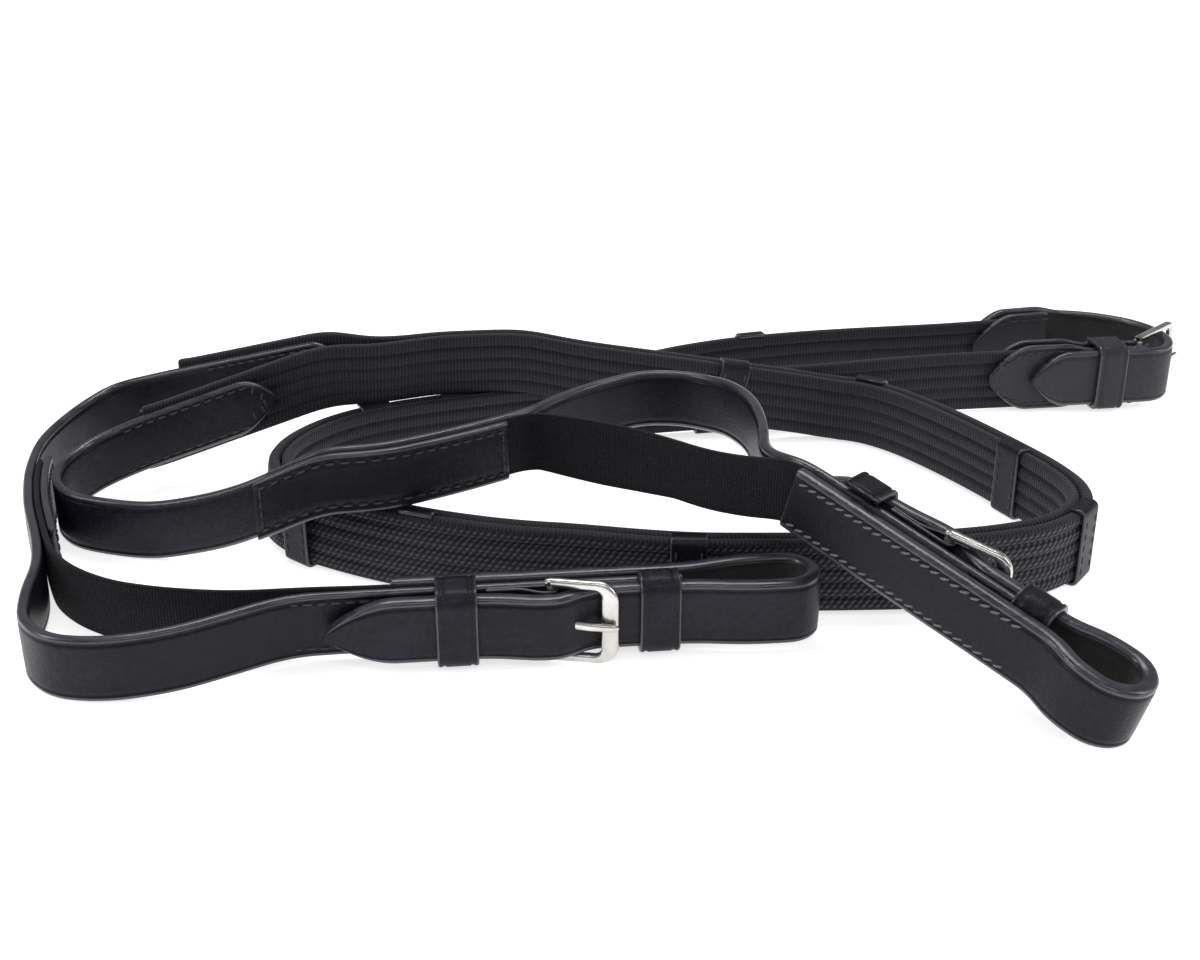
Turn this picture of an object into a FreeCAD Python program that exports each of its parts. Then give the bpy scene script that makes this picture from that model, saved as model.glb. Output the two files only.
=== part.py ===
"""A pair of elasticated web bridle reins, buckled together at the centre and laid on a table.

The frame is in millimetres: +X along the length of the laid reins, +Y across, +Z up, the table at Z = 0.
Every strap stands on its edge, so a piece is its outline in plan, padded to the strap's width.
The outer rein's web runs round the outside of the coil, and the inner rein's web inside it.
"""
import FreeCAD, Part
import math
import os

import Sketcher

Vector = FreeCAD.Vector
doc = FreeCAD.newDocument("reins")

# ---------------------------------------------------------------------------------------------
# Driving dimensions
# ---------------------------------------------------------------------------------------------
SIZES = {
    "leather_width": 16,        # 5/8 inch bridle leather
    "centre_width": 18,         # the wider pieces at the centre buckle
    "centre_oval": 21.4,        # rounded ends that cover the web at the centre
    "web_width": 19,            # 3/4 inch ribbed webbing
    "strap_thick": 2.6,
    "billet_thick": 3.8,
    "elastic_thick": 1.6,
    "patch_thick": 2.2,
    "backing_thick": 1.8,
    "chape_thick": 0.8,         # skived leather round a bit-end buckle bar
    "web_thick": 3.0,
    "centre_layer": 2.0,
    "centre_billet": 3.0,
    "layer_gap": 0.1,
    "pair_gap": 0.4,
    "stop_thick": 1.0,
    "stop_length": 9,
    "stop_spacing": 104,
    "web_base": 1.0,            # webs ride on their hand stops
    "crossing": 21.4,           # underside of a strap that lies over the standing web
    "keeper_thick": 1.4,
    "keeper_length": 9.5,
    "keeper_slack": 0.2,
    "keeper_play": 0.4,         # above and below the straps
    "bar_radius": 1.2,
    "bar_clearance": 0.05,
    "frame_inner": 16.6,
    "frame_rail": 2.2,
    "frame_thick": 2.2,
    "frame_reach": 14,          # pivot bar to the middle of the far bar
    "far_bar": 3.0,
    "prong_thick": 1.8,
    "prong_width": 2.8,
    "centre_bar_radius": 1.5,
    "centre_inner": 18.8,
    "centre_reach": 22.5,
    "ride_height": 2.6,         # the buckle's rail under the strap of the outer rein
}

sheet = doc.addObject("Spreadsheet::Sheet", "Sizes")
for row, (alias, number) in enumerate(SIZES.items(), start=1):
    sheet.set("A%d" % row, alias)
    sheet.set("B%d" % row, str(number))
    sheet.setAlias("B%d" % row, alias)
doc.recompute()


def size(alias):
    return float(sheet.get(alias))


LEATHER = size("leather_width")
WEB_TOP = size("web_base") + size("web_width")
LAYER = size("layer_gap")
STRAP_HALF = size("strap_thick") / 2
TALL = 60                       # a pad that is cut back to a sloping strap starts this tall

# Sideways places of the layers at a stitched bit end, from the middle of the main strap.
ELASTIC_SIDE = STRAP_HALF + LAYER + size("elastic_thick") / 2
PATCH_SIDE = ELASTIC_SIDE + size("elastic_thick") / 2 + LAYER + size("patch_thick") / 2
ROOT_SIDE = ELASTIC_SIDE + size("elastic_thick") / 2 + LAYER + size("billet_thick") / 2
BILLET_SIDE = STRAP_HALF + LAYER + size("billet_thick") / 2
SPLICE_SIDE = STRAP_HALF + LAYER + size("web_thick") / 2
PAIR_SIDE = (size("web_thick") + size("pair_gap")) / 2


# ---------------------------------------------------------------------------------------------
# Routes: straight runs joined by tangent arcs
# ---------------------------------------------------------------------------------------------
def corners(points, share=0.45):
    """Give each inner point the largest arc that its two runs allow."""
    result = []
    for before, here, after in zip(points, points[1:], points[2:]):
        first = Vector(*here, 0) - Vector(*before, 0)
        second = Vector(*after, 0) - Vector(*here, 0)
        turn = abs(first.getAngle(second))
        reach = share * min(first.Length, second.Length)
        radius = reach / math.tan(turn / 2) if turn > 1e-4 else 0
        result.append((here[0], here[1], radius))
    return [(points[0][0], points[0][1], 0)] + result + [(points[-1][0], points[-1][1], 0)]


class Route:
    """A plan curve made of lines and tangent arcs, addressed by distance along it."""

    def __init__(self, points):
        if len(points[0]) == 2:
            points = corners(points)
        self.pieces = []        # (start, heading, length, bend): bend is 1/radius, left positive
        here = Vector(points[0][0], points[0][1], 0)
        for i in range(1, len(points)):
            corner = Vector(points[i][0], points[i][1], 0)
            heading = (corner - here).normalize()
            if i == len(points) - 1 or points[i][2] == 0:
                self.add(here, heading, (corner - here).Length, 0)
                here = corner
                continue
            onward = (Vector(points[i + 1][0], points[i + 1][1], 0) - corner).normalize()
            turn = math.atan2(heading.cross(onward).z, heading.dot(onward))
            radius = points[i][2]
            reach = radius * math.tan(abs(turn) / 2)
            entry = corner - heading * reach
            self.add(here, heading, (entry - here).Length, 0)
            self.add(entry, heading, radius * abs(turn), math.copysign(1 / radius, turn))
            here = corner + onward * reach
        self.length = sum(piece[2] for piece in self.pieces)

    def add(self, start, heading, length, bend):
        if length > 1e-6:
            self.pieces.append((start, heading, length, bend))

    def at(self, distance):
        """Return the point and the heading at a distance along the route."""
        for start, heading, length, bend in self.pieces[:-1]:
            if distance <= length + 1e-9:
                break
            distance -= length
        else:
            start, heading, length, bend = self.pieces[-1]
        if bend == 0:
            return start + heading * distance, heading
        side = Vector(-heading.y, heading.x, 0)
        angle = distance * bend
        turned = heading * math.cos(angle) + side * math.sin(angle)
        centre = start + side * (1 / bend)
        return centre - Vector(-turned.y, turned.x, 0) * (1 / bend), turned

    def beside(self, distance, offset):
        """Return the point at an offset to the left of the route."""
        point, heading = self.at(distance)
        return point + Vector(-heading.y, heading.x, 0) * offset

    def breaks(self, first, last):
        """Return the distances where a line meets an arc, between two ends."""
        marks = [first]
        along = 0
        for piece in self.pieces:
            along += piece[2]
            if first + 1e-6 < along < last - 1e-6:
                marks.append(along)
        return marks + [last]

    def edge(self, first, last, offset):
        """Return the curves parallel to the route from one distance to another."""
        curves = []
        marks = self.breaks(first, last)
        for low, high in zip(marks, marks[1:]):
            middle = (low + high) / 2
            ends = self.beside(low, offset), self.beside(high, offset)
            if self.bend(middle) == 0:
                curves.append(Part.LineSegment(*ends))
            else:
                curves.append(Part.Arc(ends[0], self.beside(middle, offset), ends[1]))
        return curves

    def bend(self, distance):
        for piece in self.pieces:
            if distance <= piece[2]:
                return piece[3]
            distance -= piece[2]
        return 0

    def near(self, x, y):
        """Return the distance along the route of its point nearest to a place."""
        place = Vector(x, y, 0)
        steps = int(self.length * 2)
        marks = [self.length * i / steps for i in range(steps + 1)]
        return min(marks, key=lambda mark: (self.at(mark)[0] - place).Length)


def outline(route, first, last, offset, thick):
    """Return the closed outline of a strap of even thickness along part of a route."""
    left = route.edge(first, last, offset + thick / 2)
    right = route.edge(first, last, offset - thick / 2)
    caps = [Part.LineSegment(route.beside(end, offset + thick / 2), route.beside(end, offset - thick / 2))
            for end in (first, last)]
    return left + right + caps


def shifted(points, offset):
    """Move a route's corners sideways so that its arcs stay concentric."""
    result = []
    for i, (x, y, radius) in enumerate(points):
        here = Vector(x, y, 0)
        before = Vector(*points[max(i - 1, 0)][:2], 0)
        after = Vector(*points[min(i + 1, len(points) - 1)][:2], 0)
        first = (here - before).normalize() if i else (after - here).normalize()
        second = (after - here).normalize() if i < len(points) - 1 else first
        turn = math.atan2(first.cross(second).z, first.dot(second))
        middle = (first + second).normalize()
        corner = here + Vector(-middle.y, middle.x, 0) * (offset / math.cos(turn / 2))
        moved = radius - math.copysign(offset, turn) if radius else 0
        result.append((corner.x, corner.y, moved))
    return result


# ---------------------------------------------------------------------------------------------
# Building blocks
# ---------------------------------------------------------------------------------------------
sub_parts = []


def new_body(label):
    body = doc.addObject("PartDesign::Body", label)
    body.Label = label
    sub_parts.append(body)
    return body


def new_sketch(body, plane, curves, offset=0):
    """Add a sketch on one of the body's origin planes, moved along the plane's normal."""
    sketch = body.newObject("Sketcher::SketchObject", body.Name + "_sketch")
    origin_plane = [face for face in body.Origin.OriginFeatures if face.Role == plane + "_Plane"][0]
    sketch.AttachmentSupport = [(origin_plane, "")]
    sketch.MapMode = "FlatFace"
    sketch.AttachmentOffset = FreeCAD.Placement(Vector(0, 0, offset), FreeCAD.Rotation())
    sketch.addGeometry(curves, False)
    return sketch


def pad(body, curves, height, base=0, middle=False):
    """Pad an outline drawn in plan. The height is an expression, and the base a number."""
    feature = body.newObject("PartDesign::Pad", body.Name + "_pad")
    feature.Profile = new_sketch(body, "XY", curves, base)
    feature.setExpression("Length", height)
    feature.SideType = "Symmetric" if middle else "One side"
    body.Tip = feature
    doc.recompute()
    return feature


def polygon(points):
    """Return the closed polygon through points given as two coordinates."""
    ends = [Vector(*point, 0) for point in points]
    return [Part.LineSegment(a, b) for a, b in zip(ends, ends[1:] + ends[:1])]


def pocket(body, plane, curves, offset=0, way="both"):
    """Cut right through along the plane's normal, both ways or only one way."""
    before = body.Shape.Volume
    feature = body.newObject("PartDesign::Pocket", body.Name + "_pocket")
    feature.Profile = new_sketch(body, plane, curves, offset)
    feature.Type = "ThroughAll"
    feature.SideType = "Symmetric" if way == "both" else "One side"
    feature.Reversed = way == "reversed"
    body.Tip = feature
    doc.recompute()
    if body.Shape.Volume > before - 1e-3:
        raise RuntimeError("a pocket in %s cuts nothing" % body.Label)
    return feature


def trim(body, low, high, split=0, way="both"):
    """Cut a tall pad back to the band between two lines drawn in side view.

    The lines are lists of (x, z). A split plane at Y keeps the cut to one side of it.
    """
    under = polygon([(low[0][0], -TALL)] + low + [(low[-1][0], -TALL)])
    over = polygon([(high[0][0], 2 * TALL)] + high + [(high[-1][0], 2 * TALL)])
    return pocket(body, "XZ", under + over, -split, way)


def raised(line, height):
    return [(x, z + height) for x, z in line]


def height_at(line, x):
    """Read a side-view line at X."""
    for (x0, z0), (x1, z1) in zip(line, line[1:]):
        if x <= x1:
            return z0 + (z1 - z0) * (x - x0) / (x1 - x0)
    return line[-1][1]


def tongue(low, high, tip_x, tip_length, blunt):
    """Bring a side-view band to a pointed tongue at its end of greatest X."""
    shoulder = tip_x - tip_length
    middle = (height_at(low, tip_x) + height_at(high, tip_x)) / 2
    kept_low = [point for point in low if point[0] < shoulder]
    kept_high = [point for point in high if point[0] < shoulder]
    far = tip_x + 5
    quarter = tip_x - tip_length * 0.4
    lift = (height_at(high, shoulder) - height_at(low, shoulder)) / 2
    low_end = [(shoulder, height_at(low, shoulder)), (quarter, middle - lift * 0.72),
               (tip_x, middle - blunt), (far, middle - blunt)]
    high_end = [(shoulder, height_at(high, shoulder)), (quarter, middle + lift * 0.72),
                (tip_x, middle + blunt), (far, middle + blunt)]
    return kept_low + low_end, kept_high + high_end


def solid_box(name, low, high):
    """Add a box between two corners. Each coordinate is an expression over the sheet."""
    box = doc.addObject("Part::Box", name)
    for axis, side, a, b in zip("xyz", ("Length", "Width", "Height"), low, high):
        box.setExpression(side, "(%s) - (%s)" % (b, a))
        box.setExpression("Placement.Base." + axis, "(%s)" % a)
    return box


def boolean(kind, name, base, tool):
    feature = doc.addObject("Part::" + kind, name)
    feature.Base = base
    feature.Tool = tool
    return feature


def keep(feature, label, placement):
    """Name a finished piece and put it in its place."""
    feature.Label = label
    feature.Placement = placement
    sub_parts.append(feature)


# ---------------------------------------------------------------------------------------------
# Where the straps lie
# ---------------------------------------------------------------------------------------------
# The two webs run side by side round the coil. This is the line between them.
PAIR_POINTS = [
    (-68, 35.5), (-48, 38), (-25, 37.5), (0, 39.5), (25, 44), (44, 47.5), (58, 46), (69, 36.5),
    (77.5, 24.5), (86, 10.5), (93.5, -4), (100, -17.5), (103.8, -31), (101.2, -44), (89.5, -54.3),
    (73, -59.5), (56, -61.8), (36, -62.5), (8, -62.7), (-18, -61.8), (-42, -58.8), (-62, -53),
    (-80, -45), (-95, -36.5), (-105, -26), (-110, -13.5), (-108.5, 0), (-102, 12.5), (-92, 22.5),
    (-78, 30), (-62, 36)]

CENTRE_PIVOT = Vector(153, 77.4, 0)
CENTRE_ANGLE = 46               # the centre buckle's direction in plan, in degrees
CENTRE_RUN = 7.5                # the direction of the rein that carries the centre buckle


def polar(origin, angle, distance):
    """Return the plan point at a distance from an origin, at an angle in degrees."""
    return (origin[0] + distance * math.cos(math.radians(angle)),
            origin[1] + distance * math.sin(math.radians(angle)))


# Heights of the underside of a strap in side view, as (x, z).
# Both webs rise from their splices, lie over the start of the coil, and come down on the table.
UPPER_END = 50
OVER_COIL = [(-97, size("crossing")), (-34, size("crossing")), (UPPER_END, size("web_base")),
             (200, size("web_base"))]

ORIGIN = (-3, -8.9, 0)

REINS = {
    "outer": {
        "buckle_side": -1,
        "pair_side": 1,
        "splice": [(-94, 29.4), (-148, 41.5)],
        "web_start": 1.0,
        "web_in": [(-80, 33)],
        "web_out": [(-46, 46), (-25, 59), (-2, 73), (20, 84), (45, 91), (70, 95.5), (94, 99),
                    (112, 103), (130, 107.5)],
        "turn": [(-166.2, 44), (-173.2, 32.5), (-177, 18), (-177.5, 3), (-174.5, -13), (-168.5, -32)],
        "bridge": [(-159, -54), (-154.5, -67), (-152.5, -82), (-149, -95), (-141, -103),
                   (-128, -105), (-114, -102), (-103, -96)],
        "elastic": [(-159, -54), (-154, -64), (-146, -72.5), (-135, -79.5), (-121, -84.5),
                    (-104, -88)],
        "patch": ((-177, -4), (-160.5, -50.5)),
        "bit": (-67.6, -86.7),
        "bit_angle": 6.3,
        "bit_height": size("ride_height"),
        "bit_rise": 0,
        "loop_end": 98,
        "loop_shoulder": 82,
        "loop_radius": 6.75,
        "bridge_join": -24,
        "tip": -15,
        "far_low": [(-260, 0), (-180, 0), (-97, size("crossing") + 1.5), (-60, size("crossing") + 1.5)],
        "near_low": [(-260, 0), (-135, 0), (-85, size("ride_height")), (200, size("ride_height"))],
        "split": 3,
        "first_stop": (63, 46),
        "stop_count": 6,
    },
    "inner": {
        "buckle_side": 1,
        "pair_side": -1,
        "splice": [(-112, 16), (-150, 9.5)],
        "web_start": 1.0,
        "web_in": [(-96, 21.7), (-84, 26.5)],
        "web_out": [(-44, 40.5), (-20, 46), (5, 51.5), (30, 56), (52, 60.2), (72, 65.4),
                    polar(CENTRE_PIVOT, CENTRE_RUN, -64), polar(CENTRE_PIVOT, CENTRE_RUN, -22)],
        "turn": [(-161, 4.5), (-167, -6), (-166, -18.5), (-158.5, -28.5), (-146, -33), (-130, -36),
                 (-113, -42.5), (-94, -48), (-76, -47.5), (-59, -37.5)],
        "bridge": [(-38, -22), (-31, -12), (-20, -1.5), (-8, 6), (4, 5.5), (14, -3), (19.5, -17),
                   (21, -36)],
        "elastic": [(-38, -22), (-25, -26.5), (-12, -33), (-1, -41), (10, -50.5)],
        "patch": ((-104, -45.5), (-46, -28.5)),
        "bit": (26.2, -64.5),
        "bit_angle": -42.4,
        "bit_height": 26.2,
        "bit_rise": -15.6,
        "loop_end": 89,
        "loop_shoulder": 76.5,
        "loop_radius": 7.4,
        "bridge_join": -10,
        "tip": -1,
        "far_low": [(-260, 0), (-169, 0), (-97, size("crossing") + 1.5), (-80, size("crossing") + 1.5),
                    (-70, size("crossing")), (8, size("crossing")), (60, size("crossing") + 3)],
        "near_low": [(-260, 0), (-135, 0), (-122, 4), (-110, 9), (-88, size("crossing")), (8, size("crossing")),
                     (19, size("crossing") + 2)],
        "split": -14,
        "first_stop": (16, 42),
        "stop_count": 6,
    },
}

# Places along a bit end, from its stitched root towards the loop.
PIVOT = 36.2
INNER_END = 67
ELASTIC_END = 50
KEEPER_START = 10
RUNNER_START = 56.5
CHAPE_START = 21.5
LOOP_MIDDLE = -1.2


def bit_placement(rein):
    """Return where a bit end lies: turned in plan, pitched, and raised."""
    turn = FreeCAD.Rotation(Vector(0, 0, 1), rein["bit_angle"])
    pitch = FreeCAD.Rotation(Vector(0, 1, 0), -rein["bit_rise"])
    return FreeCAD.Placement(Vector(*rein["bit"], rein["bit_height"]), turn * pitch)


def bit_slope(rein):
    """Return the side-view line of the underside along the bit end."""
    reach = rein["loop_end"] * math.cos(math.radians(rein["bit_rise"]))
    end = polar(rein["bit"], rein["bit_angle"], reach)
    drop = rein["loop_end"] * math.sin(math.radians(rein["bit_rise"]))
    return [(rein["bit"][0], rein["bit_height"]), (end[0], rein["bit_height"] + drop)]


def strap_route(rein, middle_points, join):
    """Join the splice, the turn, a set of middle points and the bit end into one route."""
    flat = math.cos(math.radians(rein["bit_rise"]))
    ends = [polar(rein["bit"], rein["bit_angle"], distance * flat) for distance in (join, INNER_END)]
    return Route(rein["splice"] + rein["turn"] + middle_points + ends)


def web_route(rein):
    """Join the splice, the run beside the other web, and the way to the centre."""
    side = -SPLICE_SIDE         # the splice runs away from the web, so its right is the far side
    splice = shifted([(*point, 0) for point in rein["splice"]], side)
    lead_in = [tuple(point[:2]) for point in reversed(splice)] + rein["web_in"]
    pair = shifted(corners(PAIR_POINTS), rein["pair_side"] * PAIR_SIDE)
    plain = lead_in + [tuple(point[:2]) for point in pair] + rein["web_out"]
    rounded = corners(plain)
    first = len(lead_in)
    for i in range(1, len(pair) - 1):
        rounded[first + i] = pair[i]
    return Route(rounded)


# ---------------------------------------------------------------------------------------------
# The pieces of one rein
# ---------------------------------------------------------------------------------------------
def near_line(rein, side=0):
    """Return the side-view underside of the near half of a layer beside the main strap."""
    if rein["bit_rise"] == 0:
        return rein["near_low"]
    shift = -side * math.sin(math.radians(rein["bit_angle"]))
    slope = [(x + shift, z) for x, z in bit_slope(rein)]
    return rein["near_low"] + slope + [(300, slope[1][1])]


def build_main_strap(name, rein, route):
    """The long strap: pointed on the web, round the turn, past the elastic, to the bit loop."""
    body = new_body(name + "_main_strap")
    pad(body, outline(route, 0, route.length, 0, size("strap_thick")), "%d" % TALL)
    near = near_line(rein)
    trim(body, near, raised(near, LEATHER), rein["split"], "reversed")
    low, high = rein["far_low"], raised(rein["far_low"], LEATHER)
    if rein["splice"][0][0] > -100:
        low, high = tongue(low, high, rein["splice"][0][0], 10, 2.5)
        trim(body, low, high, rein["split"], "forward")
        return
    # The inner strap's bridge reaches over the split plane, so its tongue is cut on its own.
    trim(body, low, high, rein["split"], "forward")
    tip_x = rein["splice"][0][0]
    middle = height_at(low, tip_x) + LEATHER / 2
    for sign in (-1, 1):
        corner = [(tip_x + 3, middle + sign * LEATHER), (tip_x + 3, middle + sign * 2),
                  (tip_x, middle + sign * 2.5), (tip_x - 4, middle + sign * 6),
                  (tip_x - 10, middle + sign * (LEATHER / 2 + 3)), (tip_x - 10, middle + sign * LEATHER)]
        pocket(body, "XZ", polygon(corner), -rein["split"], "forward")


def build_elastic(name, rein, route, first):
    """The elastic insert, sewn in under the patch and along the bit end."""
    body = new_body(name + "_elastic")
    side = -rein["buckle_side"] * ELASTIC_SIDE
    last = route.length - (INNER_END - ELASTIC_END)
    pad(body, outline(route, first, last, side, size("elastic_thick")), "%d" % TALL)
    near = near_line(rein, side)
    trim(body, near, raised(near, LEATHER), 0)


def build_patch(name, rein, route, first, last):
    """The leather patch sewn over the elastic's upper end."""
    body = new_body(name + "_patch")
    side = -rein["buckle_side"] * PATCH_SIDE
    pad(body, outline(route, first, last, side, size("patch_thick")), "%d" % TALL)
    near = near_line(rein)
    trim(body, near, raised(near, LEATHER), 0)


def build_web(name, rein, route):
    """The ribbed web: a raised start over the coil, then a spiral on the table."""
    body = new_body(name + "_web")
    landing = route.near(UPPER_END + 6, 45)
    height = "%d" % TALL
    pad(body, outline(route, rein["web_start"], landing, 0, size("web_thick")), height)
    rise = [(x, z - 1.5) for x, z in rein["far_low"][:2]]
    low = rise + OVER_COIL
    trim(body, low, raised(low, size("web_width")), 0)
    pad(body, outline(route, landing, route.length, 0, size("web_thick")), "Sizes.web_width",
        size("web_base"))


def build_backing(name, rein, route):
    """The plain leather on the far side of the splice."""
    body = new_body(name + "_splice_backing")
    side = size("web_thick") / 2 + LAYER + size("backing_thick") / 2
    pad(body, outline(route, 0, 36, side, size("backing_thick")), "%d" % TALL)
    low = rein["far_low"]
    trim(body, low, raised(low, LEATHER), 0)


def build_stops(name, rein, route):
    """Hand stops: leather strips folded over both edges of the web, evenly spaced."""
    first = route.near(*rein["first_stop"])
    side = rein["pair_side"]
    half = size("stop_length") / 2
    thick = size("stop_thick")
    landing = route.near(UPPER_END, 45)
    for count in range(rein["stop_count"]):
        middle = first + count * size("stop_spacing")
        body = new_body("%s_hand_stop_%d" % (name, count + 1))
        face = side * (size("web_thick") / 2 + LAYER + thick / 2)
        strip = size("web_thick") + LAYER + thick
        over = face - side * (strip - thick) / 2
        path, ends, place = route, (middle - half, middle + half), FreeCAD.Placement()
        if middle < landing:
            # This stop rides on the web where it slopes down to the table.
            path, ends = Route([(-half, 0), (half, 0)]), (0, 2 * half)
            place = on_slope(route, middle)
        pad(body, outline(path, *ends, face, thick), "Sizes.web_width + 2 * Sizes.stop_thick")
        for base in (0, WEB_TOP):
            pad(body, outline(path, *ends, over, strip), "Sizes.stop_thick", base)
        body.Placement = place


def on_slope(route, distance):
    """Return a place on the raised web, turned and pitched to lie along it."""
    point, heading = route.at(distance)
    rise = height_at(OVER_COIL, point.x + 1) - height_at(OVER_COIL, point.x)
    pitch = FreeCAD.Rotation(Vector(0, 1, 0), -math.degrees(math.atan(rise * heading.x)))
    turn = FreeCAD.Rotation(Vector(0, 0, 1), math.degrees(math.atan2(heading.y, heading.x)))
    turned = turn * pitch
    middle = size("web_base") + size("web_width") / 2
    lift = height_at(OVER_COIL, point.x) + size("web_width") / 2
    place = FreeCAD.Placement(Vector(point.x, point.y, lift), turned)
    return place.multiply(FreeCAD.Placement(Vector(0, 0, -middle), FreeCAD.Rotation()))


def build_billet(name, rein):
    """The thick strap that goes round the bit: root, loop, under and over the buckle, tip."""
    side = rein["buckle_side"]
    tip = rein["tip"]
    over_bar = STRAP_HALF + LAYER + 2 * size("chape_thick") + 2 * (
        size("bar_radius") + size("bar_clearance")) + LAYER + size("billet_thick") / 2
    over_chape = BILLET_SIDE + 2 * size("chape_thick") + 2 * LAYER
    loop_end, loop_radius, shoulder = rein["loop_end"], rein["loop_radius"], rein["loop_shoulder"]
    loop_low, loop_high = LOOP_MIDDLE - loop_radius, LOOP_MIDDLE + loop_radius
    points = [(0, -ROOT_SIDE), (69, -ROOT_SIDE), (shoulder, loop_low), (loop_end, loop_low),
              (loop_end, loop_high), (shoulder, loop_high), (69, BILLET_SIDE), (45, BILLET_SIDE),
              (PIVOT + 1.5, over_bar), (PIVOT - 3, over_bar), (22, over_chape), (tip, over_chape)]
    rounded = corners([(x, y * side) for x, y in points])
    rounded = [(x, y, loop_radius if x == loop_end else radius) for x, y, radius in rounded]
    route = Route(rounded)
    body = new_body(name + "_billet")
    pad(body, outline(route, 0, route.length, 0, size("billet_thick")), "Sizes.leather_width")
    hole = polygon([(PIVOT + 0.8, LEATHER / 2 - 1.8), (PIVOT + 12, LEATHER / 2 - 1.8),
                    (PIVOT + 12, LEATHER / 2 + 1.8), (PIVOT + 0.8, LEATHER / 2 + 1.8)])
    pocket(body, "XZ", hole, -side * STRAP_HALF, "forward" if side > 0 else "reversed")
    for low_z, high_z in ((0, 1), (LEATHER, -1)):
        corner = [(tip - 3, low_z - high_z * 3), (tip - 3, low_z + high_z * 6.5),
                  (tip, low_z + high_z * 5.6), (tip + 3, low_z + high_z * 2.2),
                  (tip + 9, low_z), (tip + 9, low_z - high_z * 3)]
        pocket(body, "XZ", polygon(corner), -side * STRAP_HALF, "forward" if side > 0 else "reversed")
    body.Placement = bit_placement(rein)


def build_chape(name, rein):
    """The skived leather that folds round the buckle's pivot bar."""
    side = rein["buckle_side"]
    half = size("chape_thick") / 2
    radius = size("bar_radius") + size("bar_clearance") + half
    low = STRAP_HALF + LAYER + half
    high = low + 2 * radius
    closed = low + 2 * half + LAYER
    shape = [(CHAPE_START, low, 0), (PIVOT + radius, low, radius), (PIVOT + radius, high, radius),
             (PIVOT - 2, high, 4), (CHAPE_START + 8, closed, 6), (CHAPE_START, closed, 0)]
    route = Route([(x, y * side, r) for x, y, r in shape])
    body = new_body(name + "_buckle_chape")
    pad(body, outline(route, 0, route.length, 0, size("chape_thick")), "Sizes.leather_width")
    slot = size("prong_width") / 2 + 0.4
    pocket(body, "XZ", polygon([(PIVOT - 3.5, LEATHER / 2 - slot), (PIVOT + 6, LEATHER / 2 - slot),
                                (PIVOT + 6, LEATHER / 2 + slot), (PIVOT - 3.5, LEATHER / 2 + slot)]))
    body.Placement = bit_placement(rein)


def pivot_place(rein, height):
    """Return the placement of the buckle's bar: its middle, with X to the far bar."""
    side = rein["buckle_side"]
    bar = STRAP_HALF + LAYER + size("chape_thick") + size("bar_radius") + size("bar_clearance")
    local = FreeCAD.Placement(Vector(PIVOT, bar * side, height),
                              FreeCAD.Rotation(Vector(0, 0, 1), FRAME_TILT * side))
    return bit_placement(rein).multiply(local)


FRAME_TILT = 15                 # the frame slopes up from its bar to lie over the billet


def build_frame(label, placement, inner, reach, bar):
    """A stirrup buckle: two rails and a flat far bar, with a round pivot bar between them."""
    rail = "Sizes.frame_rail"
    half = "Sizes.frame_thick / 2"
    outer_z = "(Sizes.%s / 2 + %s)" % (inner, rail)
    inner_z = "(Sizes.%s / 2)" % inner
    far = "(Sizes.%s + Sizes.far_bar / 2)" % reach
    plate = solid_box(label + "_plate", ("-Sizes." + bar, "-" + half, "-" + outer_z),
                      (far, half, outer_z))
    rounded = doc.addObject("Part::Fillet", label + "_rounded")
    rounded.Base = plate
    doc.recompute()
    corners_at = [i for i, edge in enumerate(plate.Shape.Edges, start=1)
                  if abs(edge.Vertexes[0].Y - edge.Vertexes[1].Y) > 1
                  and edge.Vertexes[0].X > 1]
    rounded.Edges = [(i, 3.2, 3.2) for i in corners_at]
    window = solid_box(label + "_window", ("-10", "-5", "-" + inner_z),
                       ("Sizes.%s - Sizes.far_bar / 2" % reach, "5", inner_z))
    rim = boolean("Cut", label + "_rim", rounded, window)
    bar_piece = doc.addObject("Part::Cylinder", label + "_bar")
    bar_piece.setExpression("Radius", "Sizes." + bar)
    bar_piece.setExpression("Height", "2 * %s - 1" % outer_z)
    bar_piece.setExpression("Placement.Base.z", "-%s + 0.5" % outer_z)
    keep(boolean("Fuse", label + "_frame", rim, bar_piece), label, placement)


def build_prong(label, placement, bar, reach, rise, side):
    """A prong: an eye round the bar, a shank up through the strap, a tip over the far bar."""
    eye = size(bar) + size("bar_clearance")
    wall = 0.6 if bar == "bar_radius" else 1.3
    body = new_body(label)
    shank = Route(corners([(eye + 0.4, 0.6 * side), (reach * 0.32, rise * 0.55 * side),
                           (reach * 0.68, rise * side), (reach + 2.2, rise * side)]))
    width = "Sizes.prong_width"
    pad(body, outline(shank, 0, shank.length, 0, size("prong_thick")), width, 0, True)
    ring = Part.Circle(Vector(0, 0, 0), Vector(0, 0, 1), eye + wall)
    pad(body, [ring], width, 0, True)
    pocket(body, "XY", [Part.Circle(Vector(0, 0, 0), Vector(0, 0, 1), eye)])
    body.Placement = placement


def build_keeper(name, rein):
    """The fixed keeper: a band over the billet whose skived ends are sewn in at the strap's back."""
    front = 2 * LAYER + STRAP_HALF + 2 * size("chape_thick") + LAYER + size("billet_thick")
    build_band(name + "_fixed_keeper", rein, KEEPER_START, (-STRAP_HALF, front), True)


def build_runner(name, rein):
    """The loose runner: a closed band that slides between the buckle and the bit loop."""
    back = -STRAP_HALF
    front = BILLET_SIDE + size("billet_thick") / 2
    build_band(name + "_runner", rein, RUNNER_START, (back, front), False)


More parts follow.
